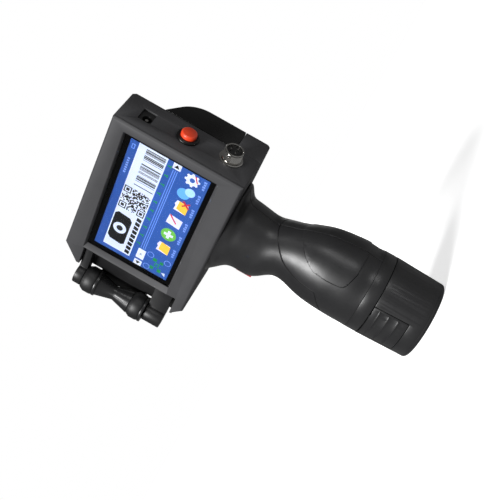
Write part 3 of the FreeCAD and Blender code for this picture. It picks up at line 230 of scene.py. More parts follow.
# Spring wire and ground pins, drawn lengthways.
DRAWN_STEEL = Finish("drawn_spring_steel", "#b5b5b8", "#8d8d90", 0.22, metal=1.0, grain_mm=0.2,
                     relief=0.05, pattern=Pattern.BRUSHED)
# Thin gold over nickel on contacts: warm and bright.
GOLD_FLASH = Finish("gold_flash_contacts", "#e2b860", "#c79a45", 0.22, metal=1.0, relief=0.04)
# Moulded polycarbonate cap: a clear, slightly glossy red.
RED_CAP = Finish("signal_red_polycarbonate", "#ee4a26", "#df3f1d", 0.34, ior=1.55, relief=0.02,
                 coat=0.2)
# Moulded trigger: a deeper red with a soft sheen.
RED_TRIGGER = Finish("red_moulded_trigger", "#b01226", "#960d1e", 0.34, relief=0.03)
# Heat-shrunk film round the cells: blue and smooth.
CELL_WRAP = Finish("shrink_film", "#2c6fb0", "#235c95", 0.25, relief=0.03)
# Solder mask over copper tracks: green with a faint raised pattern.
GREEN_BOARD = Finish("solder_mask_board", "#14532d", "#0d3c20", 0.3, relief=0.3, grain_mm=1.0,
                     pattern=Pattern.BOARD)
# Extruded PVC round the lead: black with a low sheen.
CABLE_PVC = Finish("pvc_insulation", "#151516", "#0e0e0f", 0.4, relief=0.05)
# Closed-cell foam gasket: black, dry and finely pitted.
SENSOR_FOAM = Finish("closed_cell_foam", "#121213", "#0a0a0b", 0.8, relief=0.3, grain_mm=0.4)
# Float glass over the display: clear, one sharp reflection.
CLEAR_GLASS = Finish("clear_float_glass", "#ffffff", "#fbfdff", 0.04, ior=1.5, relief=0.0,
                     smudge=0.01, clear=1.0)
# The printed border round the lit area: nearly black.
DARK_BEZEL = Finish("unlit_display_border", "#08090b", "#050608", 0.3, relief=0.0)


def lit(name: str, colour: str, shade: str, glow: float = 0.7) -> Finish:
    """A colour shown by the backlit display, with its grid of pixels.

    Args:
        name: what the colour is used for.
        colour: the lit colour.
        shade: the same colour a little darker.
        glow: how brightly the backlight shows it.

    Returns:
        The finish.
    """
    return Finish(f"display_{name}", colour, shade, 0.35, relief=0.0, grain_mm=0.2,
                  pattern=Pattern.PIXELS, glow=glow)


class Lit(Enum):
    """Colours on the display."""

    BLUE = lit("blue", "#2a56a8", "#254d99")
    TITLE = lit("title_blue", "#2850a0", "#22478f")
    BAND = lit("pale_band", "#6f97dd", "#5f88d2")
    PAPER = lit("paper_white", "#d6dfee", "#c9d3e4")
    WHITE = lit("white", "#dfe4ee", "#d0d7e4")
    INK = lit("ink_black", "#0b0c10", "#07080b")
    GREEN = lit("green", "#1f9e46", "#1a873c")
    LEAF = lit("leaf_green", "#6dbb45", "#5aa836")
    YELLOW = lit("folder_yellow", "#f0c648", "#e2b235")
    PAGE = lit("page_lilac", "#dfe0f2", "#cfd0e6")
    RED = lit("red", "#c8283c", "#b02033")
    SKY = lit("sky_blue", "#6bb2e8", "#559fdb")
    PALE = lit("pale_sky", "#b4d8f4", "#9fcaee")
    FAINT = lit("faint_label", "#7fa0dc", "#7092d2")


# ---------------------------------------------------------------- bench tools


def pick_only(*pieces: bpy.types.Object) -> None:
    """Select these pieces and nothing else; the first becomes the active one."""
    active = bpy.context.view_layer.objects.active
    if active is not None and active.mode != "OBJECT":
        bpy.ops.object.mode_set(mode="OBJECT")
    bpy.ops.object.select_all(action="DESELECT")
    for piece in pieces:
        piece.hide_set(False)
        piece.select_set(True)
    bpy.context.view_layer.objects.active = pieces[0] if pieces else None


def settle(piece: bpy.types.Object, name: str) -> bpy.types.Object:
    """Name a piece and put its place into its mesh.

    Args:
        piece: the piece.
        name: its new name.

    Returns:
        The same piece.
    """
    pick_only(piece)
    bpy.ops.object.transform_apply(location=True, rotation=True, scale=True)
    piece.name = name
    piece.data.name = name
    return piece


def use_modifier(piece: bpy.types.Object, kind: str, **settings: object) -> None:
    """Add a modifier with these settings and apply it."""
    pick_only(piece)
    modifier = piece.modifiers.new(kind.title(), kind)
    for key, value in settings.items():
        setattr(modifier, key, value)
    bpy.ops.object.modifier_apply(modifier=modifier.name)


def soften(piece: bpy.types.Object, width: float, segments: int = 2, angle: float = 38.0) -> None:
    """Round a piece's sharp edges and shade it smoothly.

    Args:
        piece: the piece.
        width: bevel width in millimetres; 0 leaves the edges as they are.
        segments: steps across the bevel.
        angle: edges sharper than this many degrees are rounded.
    """
    if width:
        use_modifier(piece, "BEVEL", width=width * MM, segments=segments, limit_method="ANGLE",
                     angle_limit=math.radians(angle), use_clamp_overlap=False,
                     miter_outer="MITER_ARC")
    pick_only(piece)
    bpy.ops.object.shade_smooth_by_angle(angle=math.radians(SMOOTH_WITHIN))


def face_outwards(piece: bpy.types.Object) -> None:
    """Merge doubled corners and turn every face outwards."""
    pick_only(piece)
    bpy.ops.object.mode_set(mode="EDIT")
    bpy.ops.mesh.select_all(action="SELECT")
    bpy.ops.mesh.remove_doubles(threshold=SAME_POINT)
    bpy.ops.mesh.normals_make_consistent(inside=False)
    bpy.ops.object.mode_set(mode="OBJECT")


def plate(name: str, corners: Sequence[Point3], along: Point3) -> bpy.types.Object:
    """A flat outline drawn out into a closed plate.

    Args:
        name: the piece's name.
        corners: the outline's corners in millimetres, all in one plane.
        along: how far and which way it's drawn out, in millimetres.

    Returns:
        The piece.
    """
    pick_only()
    bpy.ops.mesh.primitive_circle_add(vertices=len(corners), radius=1.0, fill_type="NGON")
    piece = bpy.context.object
    for vertex, corner in zip(piece.data.vertices, corners):
        vertex.co = Vector(corner) * MM
    bpy.ops.object.mode_set(mode="EDIT")
    bpy.ops.mesh.select_all(action="SELECT")
    bpy.ops.mesh.extrude_region_move(TRANSFORM_OT_translate={"value": Vector(along) * MM})
    bpy.ops.object.mode_set(mode="OBJECT")
    settle(piece, name)
    face_outwards(piece)
    return piece


TURN_TO = {"X": (0.0, math.pi / 2, 0.0), "Y": (-math.pi / 2, 0.0, 0.0), "Z": (0.0, 0.0, 0.0)}


def turned(name: str, profile: Sequence[Point], at: Point3, axis: str = "Z",
           around: int = 64) -> bpy.types.Object:
    """A piece turned on a lathe: a ring drawn out and resized along its profile.

    Args:
        name: the piece's name.
        profile: (radius, distance along the axis) steps in millimetres, first to last.
        at: where the axis starts, in metres.
        axis: X, Y or Z.
        around: corners round the ring.

    Returns:
        The piece, closed at both ends, or bored through if the profile comes back to its start.
    """
    pick_only()
    radius, height = profile[0]
    bpy.ops.mesh.primitive_circle_add(vertices=around, radius=radius * MM, fill_type="NOTHING",
                                      location=(0, 0, height * MM))
    piece = bpy.context.object
    bpy.ops.object.transform_apply(location=True)
    bpy.ops.object.mode_set(mode="EDIT")
    bpy.ops.mesh.select_all(action="SELECT")
    bored = profile[0] == profile[-1]
    if not bored:
        bpy.ops.mesh.fill()
        bpy.ops.mesh.select_all(action="SELECT")
    for wide, up in profile[1:]:
        bpy.ops.mesh.extrude_region_move(TRANSFORM_OT_translate={
            "value": (0, 0, (up - height) * MM)})
        scale = wide / radius
        bpy.ops.transform.resize(value=(scale, scale, 1.0))
        radius, height = wide, up
    bpy.ops.object.mode_set(mode="OBJECT")
    piece.rotation_euler = TURN_TO[axis]
    piece.location = at
    settle(piece, name)
    face_outwards(piece)
    return piece


def cut(piece: bpy.types.Object, *tools: bpy.types.Object, keep: str = "DIFFERENCE") -> None:
    """Cut a piece with others, which are used up.

    Args:
        piece: the piece to cut.
        tools: the cutters.
        keep: DIFFERENCE, INTERSECT or UNION.
    """
    for tool in tools:
        use_modifier(piece, "BOOLEAN", object=tool, operation=keep, solver="EXACT")
        bpy.data.objects.remove(tool)


def weld(piece: bpy.types.Object, within: float = 0.002) -> None:
    """Join the points of a piece that lie within this many millimetres of each other."""
    pick_only(piece)
    bpy.ops.object.mode_set(mode="EDIT")
    bpy.ops.mesh.select_all(action="SELECT")
    bpy.ops.mesh.remove_doubles(threshold=within * MM)
    bpy.ops.object.mode_set(mode="OBJECT")


def dress(piece: bpy.types.Object, finish: Finish) -> None:
    """Give a piece one finish."""
    piece.data.materials.clear()
    piece.data.materials.append(finish.material())


def mount(piece: bpy.types.Object, body: str, *nodes: str) -> bpy.types.Object:
    """Fix a finished piece on a CAD body and hide the CAD nodes that it stands for.

    Args:
        piece: the piece.
        body: the body that it moves with.
        nodes: CAD nodes that it stands for.

    Returns:
        The same piece.
    """
    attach(piece, body)
    if nodes:
        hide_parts(*nodes)
    log.info("%s rides on %s", piece.name, body)
    return piece


def body_of_node(node: str) -> str:
    """The CAD body that a node belongs to."""
    groups = frame["record"]["behaviour"]["bodies"]
    return next(body for body, nodes in groups.items() if node in nodes)


def taken_from(node: str, name: str, windowed: bool = False) -> bpy.types.Object:
    """A workable copy of a CAD node's mesh, its loose triangles merged.

    Args:
        node: the CAD node.
        name: the copy's name.
        windowed: whether flat faces with openings in them are split round the openings.

    Returns:
        The copy.
    """
    source = frame["nodes"][node]
    copy = bpy.data.objects.new(name, source.data.copy())
    copy.data.name = name
    bpy.context.scene.collection.objects.link(copy)
    pick_only(copy)
    bpy.ops.object.mode_set(mode="EDIT")
    bpy.ops.mesh.select_all(action="SELECT")
    if copy.data.has_custom_normals:
        bpy.ops.mesh.customdata_custom_splitnormals_clear()
    bpy.ops.mesh.remove_doubles(threshold=SAME_CAD_POINT)
    bpy.ops.mesh.dissolve_limited(angle_limit=math.radians(FLAT_WITHIN))
    if windowed:
        bpy.ops.mesh.select_all(action="SELECT")
        bpy.ops.mesh.vert_connect_concave()
    bpy.ops.object.mode_set(mode="OBJECT")
    return copy


# ---------------------------------------------------------------- sub-assemblies


@dataclass
class CaseParts:
    """Moulded and cast parts that keep their CAD shape and gain rounded edges."""

    rounding: dict[str, tuple[float, Finish]] = field(default_factory=lambda: {
        "front_cover": (0.35, COATED_SHELL),
        "main_shell": (0.35, COATED_SHELL),
        "rear_housing": (0.12, COATED_SHELL),
        "bay_cover": (0.1, PIANO_BLACK),
        "nose_block": (0.4, BLACK_NYLON),
        "near_roller_bracket": (0.5, BLACK_NYLON),
        "far_roller_bracket": (0.5, BLACK_NYLON),
        "handle_collar": (0.3, SATIN_ABS),
        "battery_case": (0.25, SATIN_ABS),
        "near_latch": (0.2, SATIN_ABS),
        "far_latch": (0.2, SATIN_ABS),
        "near_roller": (0.3, TURNED_ACETAL),
        "far_roller": (0.3, TURNED_ACETAL),
        "near_tyres": (0.4, NITRILE_RUBBER),
        "far_tyres": (0.4, NITRILE_RUBBER),
        "button_body": (0.2, PIANO_BLACK),
        "dc_jack": (0.2, BLACK_NYLON),
    })

    windowed: tuple[str, ...] = ("front_cover", "main_shell", "nose_block")

    def build(self) -> None:
        """Make each part's rounded copy and fix it in place."""
        for node, (width, finish) in self.rounding.items():
            piece = taken_from(node, f"{node}_moulding", node in self.windowed)
            soften(piece, width)
            dress(piece, finish)
            mount(piece, body_of_node(node), node)


@dataclass
class Grip:
    """The two halves of the grip with their seams and the raised palm pad."""

    seam_radius: float = 0.5
    pad_seam_radius: float = 0.6
    pad_rise: float = 0.45
    front_seam: Sequence[Point3] = (
        (11.2, 0.0, 107.3), (10.9, -4.9, 106.7), (10.6, -7.2, 105.7), (7.5, -13.7, 101.9),
        (3.6, -17.2, 97.0), (0.9, -18.8, 92.8), (-0.9, -20.6, 86.5), (-1.5, -22.3, 80.4),
        (-1.0, -24.2, 72.0), (-0.9, -24.9, 69.2), (-6.5, -24.5, 65.5), (-15.1, -21.5, 60.1),
        (-21.5, -15.3, 56.4), (-25.6, -7.0, 54.0), (-26.6, 0.0, 53.4))
    pad_seam: Sequence[Point3] = (
        (17.3, 0.0, 92.9), (17.0, -4.0, 92.0), (16.3, -8.6, 90.3), (12.5, -16.8, 83.5),
        (10.1, -20.9, 76.1), (10.6, -22.2, 66.0), (12.4, -23.1, 56.7), (14.6, -21.8, 55.2),
        (21.5, -15.1, 52.7))
    pad_outline: Sequence[Point] = (
        (40.0, 94.5), (17.6, 93.6), (16.8, 91.6), (14.9, 87.6), (12.5, 83.5), (11.0, 79.8),
        (10.1, 76.1), (10.4, 71.0), (12.0, 58.5), (12.9, 56.4), (15.4, 54.9), (21.5, 52.7),
        (40.0, 50.5))

    def _path_on(self, piece: bpy.types.Object, corners: Sequence[Point3],
                 side: int) -> list[Vector]:
        """Closely spaced points on the piece's surface along a line of corners.

        Args:
            piece: the piece.
            corners: the line's corners in millimetres, drawn for the screen side.
            side: 1 for the screen side, -1 for the other.

        Returns:
            The points in metres.
        """
        spread: list[Vector] = []
        for start, end in zip(corners, corners[1:]):
            a, b = Vector(start), Vector(end)
            spread.extend(a.lerp(b, step / 5) for step in range(5))
        spread.append(Vector(corners[-1]))
        for _ in range(4):
            inner = [(a + 2 * b + c) / 4 for a, b, c in zip(spread, spread[1:], spread[2:])]
            spread = [spread[0], *inner, spread[-1]]
        points = [Vector((p.x, p.y * side, p.z)) * MM for p in spread]
        return [piece.closest_point_on_mesh(point)[1] for point in points]

    def _groove_tool(self, path: Sequence[Vector], radius: float) -> bpy.types.Object:
        """A round bar along a path, to cut a seam with.

        Args:
            path: points in metres.
            radius: the bar's radius in millimetres.

        Returns:
            The bar as a mesh.
        """
        curve = bpy.data.curves.new("seam", "CURVE")
        curve.dimensions = "3D"
        curve.bevel_depth = radius * MM
        curve.bevel_resolution = 2
        curve.use_fill_caps = True
        spline = curve.splines.new("POLY")
        spline.points.add(len(path) - 1)
        for slot, point in zip(spline.points, path):
            slot.co = (*point, 1.0)
        bar = bpy.data.objects.new("seam", curve)
        bpy.context.scene.collection.objects.link(bar)
        pick_only(bar)
        bpy.ops.object.convert(target="MESH")
        face_outwards(bar)
        return bar

    def build(self) -> None:
        """Make both halves, cut their seams and lay on their palm pads."""
        for node, side, name in (("handle_near_shell", 1, "near"), ("handle_far_shell", -1, "far")):
            half = taken_from(node, f"{name}_grip_half")
            soften(half, 0.3, angle=50)
            pad = half.copy()
            pad.data = half.data.copy()
            bpy.context.scene.collection.objects.link(pad)
            front = self._path_on(half, self.front_seam, side)
            round_pad = self._path_on(half, self.pad_seam, side)
            cut(half, self._groove_tool(front, self.seam_radius),
                self._groove_tool(round_pad, self.pad_seam_radius))
            weld(half)
            self._lay_pad(pad, name, side)
            pick_only(half)
            bpy.ops.object.shade_smooth_by_angle(angle=math.radians(SMOOTH_WITHIN))
            dress(half, SATIN_ABS)
            mount(half, body_of_node(node), node)

    def _lay_pad(self, pad: bpy.types.Object, name: str, side: int) -> None:
        """Turn a copy of one half into its raised palm pad.

        Args:
            pad: the copy.
            name: near or far.
            side: 1 for the screen side, -1 for the other.
        """
        pick_only(pad)
        bpy.ops.object.mode_set(mode="EDIT")
        bpy.ops.mesh.select_all(action="SELECT")
        bpy.ops.transform.shrink_fatten(value=self.pad_rise * MM)
        bpy.ops.object.mode_set(mode="OBJECT")
        outline = [(x, -0.1 * side, z) for x, z in self.pad_outline]
        cut(pad, plate("pad_tool", outline, (0, -50.0 * side, 0)), keep="INTERSECT")
        settle(pad, f"{name}_palm_pad")
        soften(pad, 0.25)
        dress(pad, SATIN_ABS)
        mount(pad, "printer")


@dataclass
class TouchScreen:
    """The backlit display and what it shows, under the clear touch glass."""

    centre: Point = (-16.0, 182.0)
    long: float = 95.04
    tall: float = 53.86
    layer: float = 0.05
    filled: float = 0.8
    count: int = 0

    def __post_init__(self) -> None:
        """Take the display's place from the CAD."""
        low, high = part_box("lcd_module")
        self.centre = ((low.x + high.x) / 2 / MM, (low.z + high.z) / 2 / MM)
        self.front = low.y / MM + 0.5
        self.low, self.high = low, high

    def _tile(self, name: str, outline: Sequence[Point], level: int, colour: Lit) -> None:
        """A thin lit shape on the display.

        Args:
            name: what it is.
            outline: its corners from the display's centre, in millimetres.
            level: how many layers it lies over the backlight.
            colour: its colour.
        """
        self.count += 1
        y = self.front - level * self.layer
        corners = [(self.centre[0] + x, y, self.centre[1] + z) for x, z in outline]
        piece = plate(f"display_{name}_{self.count}", corners,
                      (0, self.layer * self.filled, 0))
        dress(piece, colour.value)
        mount(piece, "printer")

    @staticmethod
    def _box(x0: float, x1: float, z0: float, z1: float) -> list[Point]:
        """The corners of an upright rectangle."""
        return [(x0, z0), (x1, z0), (x1, z1), (x0, z1)]

    @staticmethod
    def _round(x: float, z: float, radius: float, count: int = 28,
               wave: Callable[[int], float] = lambda i: 1.0) -> list[Point]:
        """A ring of corners, each pushed out by wave(number) times the radius."""
        return [(x + radius * wave(i) * math.cos(2 * math.pi * i / count),
                 z + radius * wave(i) * math.sin(2 * math.pi * i / count)) for i in range(count)]

    def _code_grid(self, name: str, x0: float, x1: float, z0: float, z1: float, columns: int,
                   rows: int, dark: Callable[[int, int], bool]) -> None:
        """A grid of black and white cells.

        Args:
            name: the piece's name.
            x0: its left edge.
            x1: its right edge.
            z0: its lower edge.
            z1: its upper edge.
            columns: cells across.
            rows: cells up.
            dark: whether the cell at (column, row) is black.
        """
        pick_only()
        bpy.ops.mesh.primitive_grid_add(x_subdivisions=columns, y_subdivisions=rows, size=1.0,
                                        rotation=(math.pi / 2, 0, 0))
        piece = bpy.context.object
        piece.scale = ((x1 - x0) * MM, (z1 - z0) * MM, 1.0)
        piece.location = ((self.centre[0] + (x0 + x1) / 2) * MM,
                          (self.front - 3 * self.layer) * MM,
                          (self.centre[1] + (z0 + z1) / 2) * MM)
        settle(piece, name)
        piece.data.materials.append(Lit.PAPER.value.material())
        piece.data.materials.append(Lit.INK.value.material())
        left = (self.centre[0] + x0) * MM
        base = (self.centre[1] + z0) * MM
        for face in piece.data.polygons:
            column = int((face.center.x - left) / ((x1 - x0) * MM) * columns)
            row = int((face.center.z - base) / ((z1 - z0) * MM) * rows)
            face.material_index = 1 if dark(column, row) else 0
        use_modifier(piece, "SOLIDIFY", thickness=self.layer * self.filled * MM,
                     offset=-1.0)
        mount(piece, "printer")

    def _panel(self) -> None:
        """The display module: a tray whose lit face is sunk behind its border."""
        low, high = self.low / MM, self.high / MM
        outline = [(low.x, low.y, low.z), (high.x, low.y, low.z), (high.x, low.y, high.z),
                   (low.x, low.y, high.z)]
        tray = plate("display_tray", outline, (0, high.y - low.y, 0))
        room = [(self.centre[0] + x, low.y - 1, self.centre[1] + z) for x, z in
                self._box(-self.long / 2, self.long / 2, -self.tall / 2, self.tall / 2)]
        cut(tray, plate("tray_tool", room, (0, 1 + self.front - low.y, 0)))
        soften(tray, 0.0)
        dress(tray, DARK_BEZEL)
        mount(tray, "printer", "lcd_module")
        half_x, half_z = self.long / 2 - 0.02, self.tall / 2 - 0.02
        self._tile("backlight", self._box(-half_x, half_x, -half_z, half_z), 1, Lit.BLUE)
        self._tile("title_band", self._box(-half_x, half_x, 21.2, half_z), 2, Lit.TITLE)

    def _preview(self) -> None:
        """The white preview: bars, a square code, a plain mark and a line of blocks."""
        self._tile("preview", self._box(-44.2, 47.2, 1.6, 21.2), 2, Lit.PAPER)
        pick = random.Random(7)
        stripes: list[bool] = []
        bars = 96
        while len(stripes) < bars:
            black = len(stripes) % 2 == 0 or pick.random() < 0.5
            stripes.extend([black] * pick.choice((1, 1, 2, 3)))
            stripes.append(False)
        self._code_grid("display_bars", 15.2, 45.6, 2.6, 15.8, bars, 1,
                        lambda column, row: stripes[min(column, bars - 1)])
        cells = 25
        noise = {(i, j): pick.random() < 0.5 for i in range(cells) for j in range(cells)}

        def square_code(column: int, row: int) -> bool:
            """Three nested squares in the corners, chance elsewhere."""
            for cx, cy in ((3, 3), (3, cells - 4), (cells - 4, cells - 4)):
                reach = max(abs(column - cx), abs(row - cy))
                if reach <= 4:
                    return reach in (0, 1, 3)
            return noise[(min(column, cells - 1), min(row, cells - 1))]

        self._code_grid("display_square_code", -7.6, 11.6, 2.4, 20.6, cells, cells, square_code)
        self._tile("mark", [(-36.5, 8.0), (-15.5, 8.0), (-13.0, 10.0), (-12.0, 18.4),
                            (-14.0, 20.4), (-34.8, 20.4), (-37.2, 18.2), (-38.0, 10.0)], 3, Lit.INK)
        self._tile("mark_disc", self._round(-25.0, 14.2, 4.6), 4, Lit.PAPER)
        self._tile("mark_dot", self._round(-25.0, 14.2, 2.2), 5, Lit.INK)
        for number in range(9):
            left = -43.2 + number * 3.85
            self._tile("block", [(left, 2.6), (left + 2.9, 2.6), (left + 3.5, 5.9),
                                 (left + 0.6, 5.9)], 3, Lit.INK)

    def _scroll_bar(self) -> None:
        """Small ticks under the preview and the bar with its arrows and thumb."""
        for number in range(10):
            x = -28.5 + number * 7.86
            self._tile("tick", self._box(x - 0.45, x + 0.45, -1.7, 0.6), 2, Lit.GREEN)
            self._tile("tick_foot", self._box(x - 1.1, x + 1.1, -1.9, -1.3), 3, Lit.GREEN)
        for z in (-3.4, -4.9, -6.2):
            self._tile("groove", self._box(-31.5, 41.5, z - 0.25, z + 0.25), 2, Lit.BAND)
        for x, way in ((44.8, 1), (-45.2, -1)):
            self._tile("arrow_box", self._box(x - 2.3, x + 2.3, -7.7, -2.2), 2, Lit.WHITE)
            self._tile("arrow", [(x - 1.2 * way, -6.7), (x + 1.5 * way, -4.95),
                                 (x - 1.2 * way, -3.2)], 3, Lit.INK)
        self._tile("thumb", self._box(-41.2, -32.4, -7.7, -2.2), 2, Lit.WHITE)
        for x in (-37.4, -36.4):
            self._tile("thumb_line", self._box(x - 0.15, x + 0.15, -5.8, -4.1), 3, Lit.INK)

    def _icons(self) -> None:
        """The row of icons and the small ornaments beside it."""
        z = -16.4
        for x in (-21.7, 17.2):
            self._tile("folder_back", [(x - 4.2, z - 4.3), (x + 4.0, z - 4.3), (x + 4.4, z + 3.4),
                                       (x + 1.2, z + 4.4), (x - 0.4, z + 3.4), (x - 3.8, z + 3.9)],
                       2, Lit.PAGE)
            self._tile("folder", [(x - 4.2, z - 4.6), (x + 3.4, z - 4.6), (x + 4.6, z + 2.0),
                                  (x - 2.4, z + 2.4)], 3, Lit.YELLOW)
        x = 21.0
        for turn in (1, -1):
            self._tile("cross", [(x - 2.6, z - 2.6 - 2.0 * turn), (x - 1.6, z - 2.8 - 2.6 * turn),
                                 (x + 2.6, z - 2.6 + 2.0 * turn),
                                 (x + 1.6, z - 2.4 + 2.8 * turn)], 4 + (turn > 0), Lit.RED)
        self._tile("plus_disc", self._round(-8.7, z, 5.2), 2, Lit.LEAF)
        self._tile("plus_bar", self._box(-12.0, -5.4, z - 1.0, z + 1.0), 3, Lit.WHITE)
        self._tile("plus_post", self._box(-9.7, -7.7, z - 3.2, z + 3.2), 4, Lit.WHITE)
        self._tile("page", [(-0.4, z - 4.6), (7.2, z - 5.0), (8.2, z + 4.4), (0.6, z + 5.0)], 2,
                   Lit.PAGE)
        self._tile("pen", [(2.2, z - 1.2), (3.0, z - 1.8), (8.6, z + 3.6), (7.8, z + 4.4)], 3,
                   Lit.RED)
        self._tile("bubble", self._round(28.4, z + 1.8, 4.2), 2, Lit.SKY)
        self._tile("bubble_small", self._round(31.6, z - 1.8, 3.3), 3, Lit.PALE)
        teeth = self._round(41.3, z, 5.1, 48, lambda i: 1.0 if i % 6 < 3 else 0.78)
        self._tile("gear", teeth, 2, Lit.WHITE)
        self._tile("gear_hole", self._round(41.3, z, 1.7), 3, Lit.BLUE)
        self._tile("gear_stroke", [(40.4, z - 3.4), (41.2, z - 3.8), (45.6, z - 1.4),
                                   (45.0, z - 0.8)], 4, Lit.RED)
        for number, x in enumerate((-21.7, -8.7, 3.8, 17.2, 29.8, 42.0)):
            for step in range(4):
                left = x - 3.6 + step * 1.9
                self._tile("label", self._box(left, left + 1.3, -25.2, -23.7 + 0.4 * (step % 2)), 2,
                           Lit.FAINT)
        for x, up in ((-32.7, -11.1), (-44.2, -11.2), (-32.5, -23.4)):
            self._tile("ring", self._round(x, up, 2.4), 2, Lit.FAINT)
            self._tile("ring_room", self._round(x, up, 2.0), 3, Lit.BLUE)
        for x0, x1, z0, z1 in ((-40.6, -37.4, -19.0, -15.8), (-44.4, -41.6, -16.0, -13.4),
                               (-36.4, -33.8, -16.4, -13.6), (-44.2, -41.4, -21.4, -18.8),
                               (-36.6, -34.2, -21.2, -18.8)):
            self._tile("ornament", self._box(x0, x1, z0, z1), 2, Lit.GREEN)
        self._tile("ornament_room", self._box(-40.0, -38.0, -18.4, -16.4), 3, Lit.BLUE)
        self._tile("pointer", [(-45.4, -25.0), (-43.2, -22.0), (-42.2, -24.6)], 2, Lit.WHITE)
        self._tile("battery_sign", self._box(40.4, 44.2, 23.0, 25.2), 3, Lit.BAND)
        self._tile("battery_room", self._box(41.0, 43.6, 23.5, 24.7), 4, Lit.TITLE)
        for step in range(7):
            left = 20.0 + step * 1.9
            self._tile("clock_bar", self._box(left, left + 1.2, 23.4, 24.9), 3, Lit.FAINT)

    def build(self) -> None:
        """Make the display, then what it shows."""
        self._panel()
        self._preview()
        self._scroll_bar()
        self._icons()


@dataclass
class SensorSocket:
    """The round metal socket on the rear face, with its threaded barrel."""

    barrel: float = 5.9
    flange: float = 7.5
    bore: float = 4.9
    out: float = 8.0
    pitch: float = 0.75

    def build(self) -> None:
        """Turn the shell with its thread and fix it in place."""
        low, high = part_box("connector_shell")
        centre = (low + high) / 2
        face = high.x / MM - self.out
        profile: list[Point] = [(self.flange, 0.0), (self.flange, 1.2), (self.flange - 0.35, 1.6),
                                (self.barrel - 0.35, 1.65)]
        along = 2.3
        while along < self.out - 1.2:
            profile.extend([(self.barrel, along), (self.barrel - 0.4, along + self.pitch / 2)])
            along += self.pitch
        profile.extend([(self.barrel, self.out - 0.9), (self.barrel, self.out - 0.3),
                        (self.barrel - 0.3, self.out), (self.bore + 0.15, self.out),
                        (self.bore, self.out - 0.2), (self.bore, -11.9), (6.0, -12.0),
                        (6.0, 0.0), (self.flange, 0.0)])
        shell = turned("sensor_socket_shell", profile, (face * MM, centre.y, centre.z), "X")
        soften(shell, 0.0)
        dress(shell, NICKEL_PLATE)
        mount(shell, "printer", "connector_shell")


@dataclass
class PowerButton:
    """The domed red cap of the power button."""

    radius: float = 4.95

    def build(self) -> None:
        """Turn the cap with its rounded rim and shallow dome."""
        low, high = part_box("button_cap")
        centre = (low + high) / 2
        tall = (high.x - low.x) / MM
        rim = tall - 1.5
        profile = [(self.radius, 0.0), (self.radius, rim)]
        for step in range(1, 9):
            turn = math.radians(90 * step / 8)
            profile.append((self.radius - 1.3 + 1.3 * math.cos(turn), rim + 1.1 * math.sin(turn)))
        profile.extend([(2.4, tall - 0.12), (1.2, tall - 0.03), (0.05, tall)])
        cap = turned("power_button_cap", profile, (low.x, centre.y, centre.z), "X")
        soften(cap, 0.0)
        dress(cap, RED_CAP)
        mount(cap, "power_button", "button_cap")


@dataclass
class Screws:
    """Cross-recessed heads of the screws on the far side."""

    slot_long: float = 2.9
    slot_wide: float = 0.75
    slot_deep: float = 0.9
    apart: float = 12.0
    level: float = 0.01

    def _cell(self, place: Vector) -> tuple[int, int]:
        """Which screw a point belongs to: screws stand further apart than one cell."""
        return round(place.x / MM / self.apart), round(place.z / MM / self.apart)

    def build(self) -> None:
        """Cut a cross into every head."""
        for node in ("cover_screws", "handle_screws"):
            piece = taken_from(node, f"{node}_crossed")
            heads: dict[tuple[int, int], float] = {}
            for vertex in piece.data.vertices:
                key = self._cell(vertex.co)
                heads[key] = max(heads.get(key, -1.0), vertex.co.y)
            tops = {key: [v.co for v in piece.data.vertices
                          if self._cell(v.co) == key and v.co.y > top - self.level * MM]
                    for key, top in heads.items()}
            for key, rim in tops.items():
                if heads[key] < 0:
                    continue
                middle = sum(rim, Vector()) / len(rim) / MM
                for wide, tall in ((self.slot_long, self.slot_wide),
                                   (self.slot_wide, self.slot_long)):
                    corners = [(middle.x + i * wide / 2, middle.y + 0.5, middle.z + j * tall / 2)
                               for i, j in ((-1, -1), (1, -1), (1, 1), (-1, 1))]
                    cut(piece, plate("cross_tool", corners, (0, -0.5 - self.slot_deep, 0)))
            soften(piece, 0.0)
            dress(piece, BLACK_SCREW)
            mount(piece, "printer", node)


@dataclass
class PlainFinishes:
    """Finishes of the CAD nodes whose shape is right as it is."""

    finishes: dict[str, Finish] = field(default_factory=lambda: {
        "battery_cap": SATIN_ABS, "battery_cells": CELL_WRAP, "battery_board": GREEN_BOARD,
        "battery_lid": BLACK_NYLON, "battery_terminals": GOLD_FLASH,
        "near_latch_spring": DRAWN_STEEL, "far_latch_spring": DRAWN_STEEL,
        "near_roller_axle": ZINC_STEEL, "far_roller_axle": ZINC_STEEL,
        "handle_terminals": BLACK_NYLON, "head_screws": ZINC_STEEL,
        "battery_cable": CABLE_PVC, "trigger": RED_TRIGGER, "trigger_spring": DRAWN_STEEL,
        "trigger_switch": BLACK_NYLON, "bay_hinge_pins": ZINC_STEEL,
        "display_gasket": SENSOR_FOAM, "touch_glass": CLEAR_GLASS, "main_board": GREEN_BOARD,
        "board_standoffs": GOLD_FLASH, "dc_jack_pin": NICKEL_PLATE,
        "button_spring": DRAWN_STEEL, "button_nut": NICKEL_PLATE,
        "connector_insert": BLACK_NYLON, "connector_pins": NICKEL_PLATE,
        "connector_nut": NICKEL_PLATE, "ink_cartridge": BLACK_NYLON,
        "nozzle_plate": DRAWN_STEEL, "cartridge_cradle": BLACK_NYLON,
        "contact_strip": GOLD_FLASH, "encoder_disc": DRAWN_STEEL, "encoder_sensor": BLACK_NYLON,
    })

    def build(self) -> None:
        """Dress each node; one that a piece stands for gets plain nylon."""
        for node, finish in self.finishes.items():
            dress(frame["nodes"][node], finish)
        hidden = frame["nodes"].keys() - self.finishes.keys()
        for node in hidden:
            dress(frame["nodes"][node], BLACK_NYLON)
        log.info("dressed %d CAD nodes", len(self.finishes))


